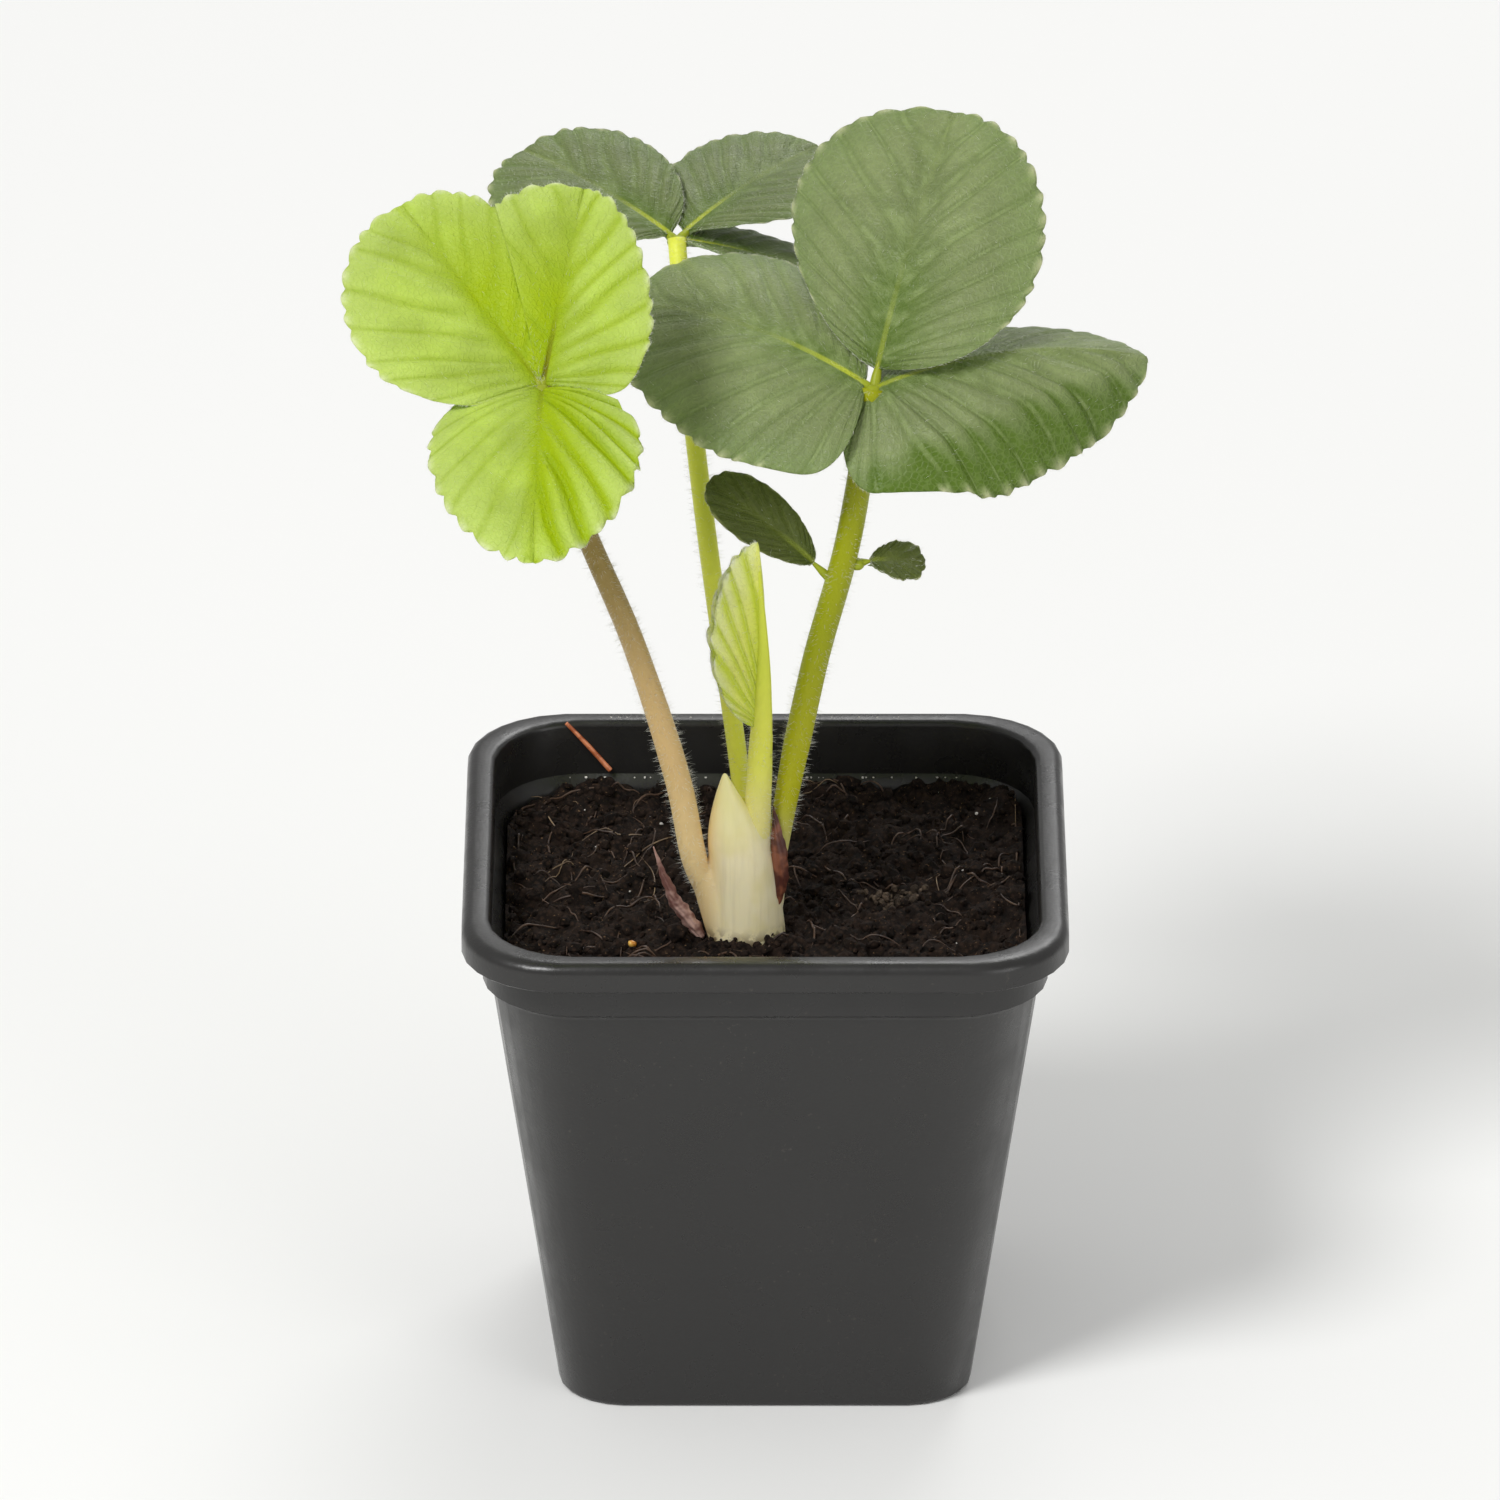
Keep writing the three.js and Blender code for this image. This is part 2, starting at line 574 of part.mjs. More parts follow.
add("pot", pot(), COLOURS.pot, 0.45);
const pinkHole = taper(PINK_SCALE_CURVE, PINK_SCALE_RADII, GAP);
add("compost", compost().subtract(crownHole()).subtract(pinkHole), COLOURS.compost, 0.95);
add("crown", crown(), COLOURS.crown, 0.5);
for (const [name, spec] of Object.entries(STALKS)) add(name, leafStalk(spec), spec.colour, 0.5);
add("right_leaf", blades(RIGHT_KNOT, RIGHT_LEAF), COLOURS.darkLeaf, 0.6);
add("left_leaf", blades(LEFT_KNOT, LEFT_LEAF), COLOURS.youngLeaf, 0.5);
add("back_leaf", blades(BACK_KNOT, BACK_LEAF), COLOURS.darkLeaf, 0.6);
add("new_leaf", blades(NEW_KNOT, NEW_LEAF, NEW_HUB_RADIUS), COLOURS.newLeaf, 0.5);
const besideStalk = (knot, one) =>
  blades(knot, [one], EXTRA_HUB_RADIUS).subtract(leafStalk(STALKS.right_leaf_stalk, GAP));
add("extra_leaflet_left", besideStalk(EXTRA_KNOTS.left, EXTRA_LEFT), COLOURS.darkSmallLeaf, 0.6);
add("extra_leaflet_right", besideStalk(EXTRA_KNOTS.right, EXTRA_RIGHT), COLOURS.darkSmallLeaf, 0.6);
add("dry_sheath", taper(DRY_SHEATH_CURVE, DRY_SHEATH_RADII), COLOURS.stipule, 0.8);
add("pink_scale", taper(PINK_SCALE_CURVE, PINK_SCALE_RADII), COLOURS.scale, 0.6);

export default plant;
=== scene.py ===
"""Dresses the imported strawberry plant: pot, compost, crown, stalks, leaves and hairs, on a stage.

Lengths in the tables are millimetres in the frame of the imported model. Pieces are made in metres.
"""

import math
import random

import bmesh
import bpy
import numpy as np
from bpy.props import FloatProperty, FloatVectorProperty, IntProperty, PointerProperty
from mathutils import Matrix, Vector, noise


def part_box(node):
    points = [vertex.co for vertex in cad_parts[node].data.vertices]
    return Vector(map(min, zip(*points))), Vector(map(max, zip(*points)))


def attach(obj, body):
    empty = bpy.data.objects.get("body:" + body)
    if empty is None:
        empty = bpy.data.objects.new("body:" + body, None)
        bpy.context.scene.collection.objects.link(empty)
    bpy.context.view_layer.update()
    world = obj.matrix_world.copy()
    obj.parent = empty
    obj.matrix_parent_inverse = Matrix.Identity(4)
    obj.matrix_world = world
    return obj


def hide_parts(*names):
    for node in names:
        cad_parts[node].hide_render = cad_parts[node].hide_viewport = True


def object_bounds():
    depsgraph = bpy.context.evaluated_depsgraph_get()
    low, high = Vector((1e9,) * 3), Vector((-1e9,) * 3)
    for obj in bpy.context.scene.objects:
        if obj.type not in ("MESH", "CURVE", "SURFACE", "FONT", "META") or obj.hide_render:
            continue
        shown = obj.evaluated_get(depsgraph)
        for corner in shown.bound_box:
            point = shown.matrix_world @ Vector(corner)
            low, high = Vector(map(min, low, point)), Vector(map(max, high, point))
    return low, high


bl_info = {
    "name": "Potted strawberry plant",
    "version": (1, 0, 0),
    "blender": (4, 5, 0),
    "location": "View3D > Sidebar > Strawberry",
    "description": "Builds the looks of a young strawberry plant in a square pot",
    "category": "Object",
}

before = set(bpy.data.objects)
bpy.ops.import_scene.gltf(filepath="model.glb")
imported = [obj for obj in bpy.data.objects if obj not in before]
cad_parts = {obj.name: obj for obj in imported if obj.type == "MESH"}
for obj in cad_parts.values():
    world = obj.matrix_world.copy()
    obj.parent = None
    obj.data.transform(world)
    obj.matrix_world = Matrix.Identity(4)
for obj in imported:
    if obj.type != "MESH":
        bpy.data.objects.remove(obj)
CAD_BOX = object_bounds()

MM = 0.001
WELD = 2e-6  # points nearer than this, in metres, become one
POT_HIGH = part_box("pot")[1]
POT_HEIGHT = POT_HIGH.z / MM
RIM_HALF = POT_HIGH.x / MM


def srgb(red, green, blue):
    """Linear colour of a screen colour given from 0 to 255."""
    parts = [value / 255 for value in (red, green, blue)]
    return tuple(p / 12.92 if p <= 0.04045 else ((p + 0.055) / 1.055) ** 2.4 for p in parts)


# Settings that a user may change


def colour_setting(name, description, red, green, blue):
    return FloatVectorProperty(
        name=name, description=description, subtype="COLOR", size=3, min=0, max=1,
        default=srgb(red, green, blue),
    )


def length_setting(name, description, millimetres):
    return FloatProperty(
        name=name, description=description, unit="LENGTH", min=0, precision=5,
        default=millimetres * MM,
    )


def count_setting(name, description, count, least=0):
    return IntProperty(name=name, description=description, min=least, default=count)


class PotSettings(bpy.types.PropertyGroup):
    """The pot and the compost in it"""

    plastic: colour_setting("Plastic", "Colour of the pot", 36, 35, 34)
    compost: colour_setting("Compost", "Main colour of the compost", 34, 24, 18)
    rim_round: length_setting("Rim rounding", "Rounding of the rim's outer top edge", 1.7)
    clods: count_setting("Clods", "Lumps scattered on the compost", 2600)
    fibres: count_setting("Fibres", "Fibres scattered on the compost", 150)


class LeafSettings(bpy.types.PropertyGroup):
    """The leaves"""

    young: colour_setting("Young leaf", "Colour of the young left leaf", 174, 197, 84)
    # The grown leaves' colour is set a little lighter than their own green, as a painted sheen of
    # their silvery hairs.
    mature: colour_setting("Grown leaf", "Colour of the grown leaves", 128, 141, 91)
    thickness: length_setting("Blade thickness", "Thickness of a leaf blade", 0.42)
    vein_depth: length_setting("Vein depth", "How deep the side veins are pressed in", 0.16)
    rows: count_setting("Rows", "Faces along a leaflet", 132, 30)
    columns: count_setting("Columns", "Faces across a leaflet", 60, 12)


class StalkSettings(bpy.types.PropertyGroup):
    """The crown, stalks and hairs"""

    green: colour_setting("Green stalk", "Colour of the green leaf stalks", 186, 186, 26)
    tan: colour_setting("Tan stalk", "Colour of the left leaf's stalk", 222, 189, 130)
    cream: colour_setting("Crown", "Colour of the crown", 250, 238, 196)
    hair_length: length_setting("Hair length", "Length of the longest hairs", 1.5)
    hair_density: FloatProperty(
        name="Hair density", description="Hairs on a square mm", min=0, default=2.6
    )


class StageSettings(bpy.types.PropertyGroup):
    """The camera, floor and lights"""

    elevation: FloatProperty(
        name="Elevation", description="How far the camera looks down", subtype="ANGLE",
        default=math.radians(25),
    )
    distance: length_setting("Distance", "From the camera to the middle of the plant", 2400)
    frame_width: length_setting("Frame width", "Width that the camera takes in at the plant", 224)
    floor: colour_setting("Floor", "Colour of the floor", 243, 243, 241)


# Materials

GLOW_REACH = 0.001  # how far light spreads inside the plant, in metres


class Graph:
    """Short calls for wiring the nodes of one material."""

    def __init__(self, name, **sockets):
        self.material = bpy.data.materials.new(name)
        self.material.use_nodes = True
        self.tree = self.material.node_tree
        self.shader = self.tree.nodes["Principled BSDF"]
        for socket, value in sockets.items():
            self.shader.inputs[socket.replace("_", " ")].default_value = value
        here = self.add("ShaderNodeTexCoord").outputs["Object"]
        self.place = self.add("ShaderNodeMapping", Vector=here, Scale=(1 / MM,) * 3).outputs[0]

    def add(self, kind, settings=None, **inputs):
        node = self.tree.nodes.new(kind)
        for name, value in (settings or {}).items():
            setattr(node, name, value)
        for name, value in inputs.items():
            self.put(node.inputs[name.replace("_", " ")], value)
        return node

    def put(self, socket, value):
        if isinstance(value, bpy.types.NodeSocket):
            self.tree.links.new(value, socket)
        elif socket.type == "RGBA" and len(value) == 3:
            socket.default_value = (*value, 1)
        else:
            socket.default_value = value

    def math(self, operation, a, b=0.0):
        node = self.add("ShaderNodeMath", {"operation": operation})
        self.put(node.inputs[0], a)
        self.put(node.inputs[1], b)
        return node.outputs[0]

    def times(self, a, b):
        return self.math("MULTIPLY", a, b)

    def read(self, attribute):
        return self.add("ShaderNodeAttribute", {"attribute_name": attribute}).outputs["Fac"]

    def axis(self, letter):
        """Place along X, Y or Z in mm."""
        return self.add("ShaderNodeSeparateXYZ", Vector=self.place).outputs[letter]

    def noise(self, size, detail=3.0, rough=0.55):
        """Noise from 0 to 1 whose features are about size mm wide."""
        inputs = {"Vector": self.place, "Scale": 1 / size, "Detail": detail, "Roughness": rough}
        return self.add("ShaderNodeTexNoise", **inputs).outputs["Fac"]

    def cells(self, size, feature="DISTANCE_TO_EDGE"):
        """Distance to the edge, or to the middle with F1, of cells about size mm wide."""
        inputs = {"Vector": self.place, "Scale": 1 / size}
        return self.add("ShaderNodeTexVoronoi", {"feature": feature}, **inputs).outputs["Distance"]

    def span(self, value, low, high, to_low=0.0, to_high=1.0):
        """value turned from the range low to high into another, held at its ends."""
        inputs = {"From_Min": low, "From_Max": high, "To_Min": to_low, "To_Max": to_high}
        settings = {"interpolation_type": "SMOOTHSTEP"}
        return self.add("ShaderNodeMapRange", settings, Value=value, **inputs).outputs["Result"]

    def mix(self, share, first, second):
        """The first colour where share is 0 and the second where it is 1."""
        node = self.add("ShaderNodeMix", {"data_type": "RGBA"})
        for index, value in ((0, share), (6, first), (7, second)):
            self.put(node.inputs[index], value)
        return node.outputs[2]

    def bump(self, height, millimetres, under=None):
        node = self.add("ShaderNodeBump", Height=height, Distance=millimetres * MM)
        if under:
            self.put(node.inputs["Normal"], under)
        return node.outputs["Normal"]

    def finish(self, colour, normal=None, roughness=None):
        for name, value in (("Base Color", colour), ("Normal", normal), ("Roughness", roughness)):
            if value is not None:
                self.put(self.shader.inputs[name], value)
        return self.material


def shade(colour, factor):
    """A colour made darker or lighter."""
    return tuple(min(1.0, part * factor) for part in colour)


def plastic_material(colour):
    graph = Graph("moulded_plastic", Specular_IOR_Level=0.5)
    dust = graph.span(graph.noise(0.8, 5), 0.62, 0.8)
    patch = graph.span(graph.noise(16, 3), 0.42, 0.7)
    tone = graph.mix(graph.noise(22, 2), shade(colour, 0.85), shade(colour, 1.15))
    tone = graph.mix(graph.times(graph.times(dust, patch), 0.3), tone, srgb(120, 112, 100))
    rough = graph.span(graph.noise(7, 5), 0.3, 0.75, 0.24, 0.4)
    return graph.finish(tone, graph.bump(graph.noise(0.6, 3), 0.03), rough)


def compost_material(name, colour):
    graph = Graph(name, Roughness=0.9, Specular_IOR_Level=0.2)
    damp = graph.span(graph.noise(2.4, 6), 0.35, 0.68)
    tone = graph.mix(damp, shade(colour, 0.35), shade(colour, 1.25))
    tone = graph.mix(graph.span(graph.cells(0.9, "F1"), 0.1, 0.6), shade(colour, 2.1), tone)
    tone = graph.mix(graph.span(graph.noise(0.5, 3), 0.64, 0.74), tone, srgb(118, 92, 68))
    return graph.finish(tone, graph.bump(graph.noise(0.9, 6, 0.7), 0.7))


def fibre_material(name, dark, light, rough=0.5):
    graph = Graph(name, Roughness=rough, Specular_IOR_Level=0.6)
    tone = graph.mix(graph.span(graph.noise(2.0, 2), 0.35, 0.65), dark, light)
    return graph.finish(tone, graph.bump(graph.noise(0.3), 0.05))


def grain_material():
    graph = Graph("white_grain", Roughness=0.6)
    return graph.finish(graph.mix(graph.noise(0.4), srgb(190, 182, 170), srgb(245, 243, 238)))


def crown_material(colour):
    graph = Graph(
        "crown_flesh", Roughness=0.38, Subsurface_Weight=0.25, Subsurface_Scale=GLOW_REACH,
        Subsurface_Radius=(1.4, 1.2, 0.6),
    )
    upright = graph.add("ShaderNodeMapping", Vector=graph.place, Scale=(1, 1, 0.08)).outputs[0]
    streaks = graph.add("ShaderNodeTexNoise", Vector=upright, Scale=0.9, Detail=4.0).outputs["Fac"]
    tone = graph.mix(graph.span(streaks, 0.4, 0.7), colour, shade(colour, 0.9))
    tone = graph.mix(graph.span(graph.noise(6, 2), 0.45, 0.7, 0.0, 0.7), tone, srgb(236, 224, 160))
    tone = graph.mix(graph.span(graph.axis("Z"), 84, 95, 0.0, 0.75), tone, srgb(230, 224, 150))
    tone = graph.mix(graph.span(graph.axis("X"), -5.5, -9.5, 0.0, 0.85), tone, srgb(229, 199, 139))
    low = graph.span(graph.axis("Z"), 74.5, 70.5)
    spread = graph.span(graph.noise(1.3, 5), 0.4, 0.56)
    tone = graph.mix(graph.times(low, spread), tone, srgb(96, 70, 46))
    return graph.finish(tone, graph.bump(streaks, 0.1))


def stalk_material(name, foot, middle, top, low, half, high):
    """A stalk coloured by height: foot at low mm, middle at half and top at high."""
    graph = Graph(
        name, Roughness=0.4, Specular_IOR_Level=0.25, Subsurface_Weight=0.15,
        Subsurface_Scale=GLOW_REACH, Subsurface_Radius=(1.0, 1.0, 0.2),
    )
    tone = graph.mix(graph.span(graph.axis("Z"), low, half), foot, middle)
    tone = graph.mix(graph.span(graph.axis("Z"), half, high), tone, top)
    tone = graph.mix(graph.times(graph.noise(1.6, 4), 0.35), tone, shade(middle, 0.7))
    return graph.finish(tone, graph.bump(graph.noise(0.6, 3), 0.12))


def hair_material():
    graph = Graph("plant_hair", Roughness=0.35, Sheen_Weight=0.3)
    return graph.finish(graph.mix(graph.noise(3), srgb(236, 236, 214), srgb(255, 255, 250)))


def leaf_material(name, blade, fold, rib, vein, margin, under, tips, net, rough, shine, bloom):
    """A leaf blade, which reads the attributes that leaflet_body gives its points.

    fold is its colour of painted light and shade in folds, pleats and a curled margin, net how
    strongly its small veins show and bloom its down.
    """
    graph = Graph(
        name, Specular_IOR_Level=shine, Sheen_Weight=bloom, Sheen_Roughness=0.35,
        Sheen_Tint=(0.93, 1.0, 0.93, 1), Subsurface_Weight=0.12, Subsurface_Scale=GLOW_REACH,
        Subsurface_Radius=(0.8, 1.0, 0.25),
    )
    reach, phase = graph.read("reach"), graph.read("phase")
    tone = graph.span(graph.noise(9, 4), 0.3, 0.7)
    tone = graph.mix(tone, shade(blade, 0.84), shade(blade, 1.14))
    tone = graph.mix(graph.span(reach, 0.55, 1.0, 0.0, 0.5), tone, margin)
    along = graph.add("ShaderNodeCombineXYZ", X=graph.times(phase, 5.0), Y=reach).outputs[0]
    streak = graph.add("ShaderNodeTexNoise", Scale=1.6, Detail=4.0, Vector=along).outputs["Fac"]
    streak = graph.times(graph.math("ADD", streak, graph.noise(1.2, 4)), 0.5)
    streak = graph.span(streak, 0.38, 0.62)
    tone = graph.mix(graph.times(streak, net * 2.5), tone, shade(blade, 0.7))
    # Painted light and shade: the fold colour by the midrib, in the pleats and on a curled margin,
    # for light glowing through and between folds and for shade in them.
    tone = graph.mix(graph.times(graph.read("deep"), 0.95), tone, fold)
    ridge = graph.span(graph.cells(0.9), 0.0, 0.2, 1.0, 0.0)
    tone = graph.mix(graph.times(ridge, net), tone, vein)
    side_off = graph.math("ABSOLUTE", graph.math("SUBTRACT", graph.math("FRACT", phase), 0.5))
    side_off = graph.times(side_off, graph.read("pitch"))
    faint = graph.span(graph.noise(3.0, 2), 0.35, 0.65, 0.05, 0.4)
    side_vein = graph.times(graph.span(side_off, 0.08, 0.26, 1.0, 0.0), faint)
    # Painted shade in the grooves that the side veins lie in; the pale vein is drawn over it next.
    tone = graph.mix(graph.span(side_off, 0.7, 0.2, 0.0, 0.25), tone, shade(fold, 0.8))
    tone = graph.mix(side_vein, tone, vein)
    across = graph.math("ABSOLUTE", graph.read("across"))
    midrib = graph.times(graph.span(across, 0.22, 0.6, 1.0, 0.0), graph.read("rib"))
    tone = graph.mix(midrib, tone, rib)
    tone = graph.mix(graph.times(graph.read("tip"), 0.8), tone, tips)
    if under:
        veins = graph.math("MAXIMUM", midrib, side_vein)
        tone = graph.mix(graph.read("under"), tone, graph.mix(veins, under, shade(under, 1.2)))
    relief = graph.bump(graph.noise(0.4, 3), 0.05, graph.bump(streak, 0.06))
    relief = graph.bump(ridge, 0.05, relief)
    gloss = graph.span(graph.noise(2.5, 3), 0.3, 0.7, rough - 0.08, rough + 0.12)
    return graph.finish(tone, relief, gloss)


# Making pieces


def mesh_of(body, name="part"):
    """The mesh of a bmesh, which is freed."""
    mesh = bpy.data.meshes.new(name)
    body.to_mesh(mesh)
    body.free()
    return mesh


def placed(name, data):
    """A new object in the scene, of a mesh, a light or a camera."""
    thing = bpy.data.objects.new(name, data)
    bpy.context.scene.collection.objects.link(thing)
    return thing


def shaped(piece):
    """A bmesh of the form that a piece's modifiers give. The modifiers are then cleared."""
    bpy.context.view_layer.update()
    result = piece.evaluated_get(bpy.context.evaluated_depsgraph_get())
    mesh = bpy.data.meshes.new_from_object(result)
    piece.modifiers.clear()
    body = bmesh.new()
    body.from_mesh(mesh)
    bpy.data.meshes.remove(mesh)
    return body


def discard(helper):
    """Removes a helper object and its mesh."""
    mesh = helper.data
    bpy.data.objects.remove(helper)
    bpy.data.meshes.remove(mesh)


def keep(name, body, material, node=None, flat=False):
    """Turns a bmesh in metres into a piece that rides on the plant, and may replace a node."""
    old = bpy.data.objects.get(name)
    if old:
        bpy.data.objects.remove(old)
    mesh = mesh_of(body, name)
    mesh.materials.append(material)
    if flat:
        mesh.shade_flat()
    else:
        mesh.shade_smooth()
    piece = placed(name, mesh)
    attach(piece, "root")
    if node:
        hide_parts(node)
    return piece


def spots(body):
    """Coordinates of a bmesh's points, one row each."""
    return np.array([point.co for point in body.verts])


def move_points(body, places):
    for point, place in zip(body.verts, places):
        point.co = place


def flat_grid(columns, rows, thickness=0):
    """A bmesh of a flat grid 1 across, with its middle at the origin, or of a slab below it."""
    body = bmesh.new()
    bmesh.ops.create_grid(body, x_segments=columns, y_segments=rows, size=0.5)
    if thickness:
        bmesh.ops.solidify(body, geom=body.faces[:], thickness=thickness)
    return body


def wrapped(columns, rows, place):
    """A closed tube. place takes arrays of the shares of a turn and of the length, and gives mm."""
    body = flat_grid(columns, rows)
    grid = spots(body) + 0.5
    move_points(body, place(grid[:, 0], grid[:, 1]) * MM)
    bmesh.ops.remove_doubles(body, verts=body.verts, dist=WELD)
    bmesh.ops.dissolve_degenerate(body, dist=WELD / 2, edges=body.edges)
    bmesh.ops.holes_fill(body, edges=[edge for edge in body.edges if edge.is_boundary], sides=0)
    bmesh.ops.recalc_face_normals(body, faces=body.faces)
    return body


STEPS_BETWEEN = 24  # fine steps between two given points of a path


def smooth_path(points, count):
    """Evenly spaced points on the smooth curve through the given ones."""
    given = [np.array(point, float) for point in points]
    given = [2 * given[0] - given[1], *given, 2 * given[-1] - given[-2]]
    fine = []
    for before, start, end, after in zip(given, given[1:], given[2:], given[3:]):
        pairs = ((before, start), (start, end), (end, after))
        first, middle, last = (math.sqrt(np.linalg.norm(b - a)) for a, b in pairs)
        leg = (end - start) / middle
        slope_in = ((start - before) / first - (end - before) / (first + middle) + leg) * middle
        slope_out = (leg - (after - start) / (middle + last) + (after - end) / last) * middle
        for t in np.linspace(0, 1, STEPS_BETWEEN, endpoint=False):
            t2, t3 = t * t, t * t * t
            point = (2 * t3 - 3 * t2 + 1) * start + (3 * t2 - 2 * t3) * end
            fine.append(point + (t3 - 2 * t2 + t) * slope_in + (t3 - t2) * slope_out)
    fine = np.array([*fine, given[-2]])
    run = np.concatenate([[0], np.cumsum(np.linalg.norm(np.diff(fine, axis=0), axis=1))])
    even = np.linspace(0, run[-1], count)
    return np.stack([np.interp(even, run, fine[:, axis]) for axis in range(3)], axis=1)


def unit(rows, least=0.0):
    """Each row made 1 long."""
    return rows / np.maximum(np.linalg.norm(rows, axis=-1, keepdims=True), least)


def path_frames(path):
    """The direction of a path at each point, and two directions square to it."""
    way = unit(np.gradient(path, axis=0))
    lead = (0.0, -1.0, 0.0) if abs(way[0][1]) < 0.9 else (1.0, 0.0, 0.0)
    side = unit(np.cross(way, lead))
    return way, side, np.cross(side, way)


def tube(points, radii, sides=20, rows=48, waver=0.0):
    """A closed tube along a smooth path in mm. radii are spread evenly over its length."""
    path = smooth_path(points, rows + 1)
    _, side, front = path_frames(path)
    along = np.linspace(0, 1, rows + 1)
    radius_at = np.interp(along, np.linspace(0, 1, len(radii)), radii)

    def place(turn, length):
        row = np.rint(length * rows).astype(int)
        angle = turn * 2 * math.pi
        uneven = np.sin(3 * angle + 9 * length) * np.cos(2 * angle - 14 * length)
        radius = radius_at[row] * (1 + waver * uneven)
        across = side[row] * np.cos(angle)[:, None] + front[row] * np.sin(angle)[:, None]
        return path[row] + across * radius[:, None]

    return wrapped(sides, rows, place)


def join_all(bodies):
    """One bmesh holding all of them."""
    whole = bmesh.new()
    for body in bodies:
        part = mesh_of(body)
        whole.from_mesh(part)
        bpy.data.meshes.remove(part)
    return whole


def scattered(*kinds):
    """One bmesh of many copies. Each kind is a pattern and its copies' matrices, in metres."""
    whole = bmesh.new()
    for pattern, matrices in kinds:
        part = mesh_of(pattern)
        shape = np.array([point.co for point in part.vertices])
        for matrix in matrices:
            grid = np.array(matrix)
            part.vertices.foreach_set("co", (shape @ grid[:3, :3].T + grid[:3, 3]).ravel())
            whole.from_mesh(part)
        bpy.data.meshes.remove(part)
    return whole


def hair_pattern():
    """A hair along +Z, 1 long, with its root a little below zero."""
    hair = bmesh.new()
    bmesh.ops.create_cone(hair, segments=3, radius1=1, radius2=0, depth=1.1, cap_ends=True)
    bmesh.ops.translate(hair, verts=hair.verts, vec=(0, 0, 0.45))
    return hair


def hair_matrix(root, way, length, width):
    """Places a hair in mm: its root, the way it points, its length and half its width."""
    turn = Vector(way).to_track_quat("Z", "Y").to_matrix().to_4x4()
    size = Matrix.Diagonal((width * MM, width * MM, length * MM, 1))
    return Matrix.Translation(Vector(root) * MM) @ turn @ size


def crumb_pattern(seed):
    """A rough lump about 1 across, of 20 faces."""
    draw = random.Random(seed)
    lump = bmesh.new()
    bmesh.ops.create_icosphere(lump, subdivisions=1, radius=0.5)
    for point in lump.verts:
        point.co *= draw.uniform(0.72, 1.2)
    return lump


def lump_matrix(draw, place, size):
    """Places a lump in mm, turned and stretched at random."""
    angle, axis = draw.uniform(0, 6.3), Vector((draw.random(), draw.random(), draw.random()))
    turn = Matrix.Rotation(angle, 4, axis)
    stretch = [size * MM * part for part in (draw.uniform(0.7, 1.3), 1, draw.uniform(0.7, 1.1))]
    return Matrix.Translation(Vector(place) * MM) @ turn @ Matrix.Diagonal((*stretch, 1))


# Pot

RIM_CORNER = 15
BASE_HALF = 31
BASE_CORNER = 10
FLOOR = 1.2
WALL = 1.1
LIP_WIDTH = 4.2
SKIRT_DROP = 4.4
LEDGE_TOP = POT_HEIGHT - 9
LEDGE_WIDTH = 1.4
INNER_TOP = RIM_HALF - LIP_WIDTH
INNER_LEDGE = INNER_TOP - LEDGE_WIDTH
FOOT_ROUND = 0.8
MIDDLE_HALF = 20  # of the flat square that closes the underside and the floor
CORNER_DRAIN, CORNER_DRAIN_REACH = 3.5, 21  # radius, and place along X and Y
SIDE_DRAIN, SIDE_DRAIN_REACH = 2.5, 23.5
DRAIN_PIN = 6  # length of the pins that cut the drains
GROOVE_START, GROOVE_WIDTH, GROOVE_DEPTH = 7, 2.4, 0.6
POT_COLUMNS = 160
SHARP = math.radians(32)  # edges of the pot that bend more than this stay sharp


def corner_at(half):
    """Corner radius of the square ring of this half width."""
    return BASE_CORNER + (RIM_CORNER - BASE_CORNER) * (half - BASE_HALF) / (RIM_HALF - BASE_HALF)


def square_ring(turn, half):
    """X and Y on a square with round corners, at a share of a turn. half may be an array."""
    corner = corner_at(half)
    angle = turn * 2 * math.pi
    way = np.stack([np.cos(angle), np.sin(angle)])
    flat = way / np.abs(way).max(axis=0)
    core = np.clip(flat * half, corner - half, half - corner)
    out = flat * half - core
    return core + out / np.linalg.norm(out, axis=0) * corner


def even_turns(turn):
    """Shares of a turn bunched towards the corners, where the ring bends."""
    return turn - np.sin(turn * 8 * math.pi) / (8 * math.pi) * 0.55


def quarter_turn(steps):
    """1 - cos and 1 - sin of even steps over a quarter of a turn."""
    return [(1 - math.cos(a), 1 - math.sin(a)) for a in np.linspace(0, math.pi / 2, steps + 1)]


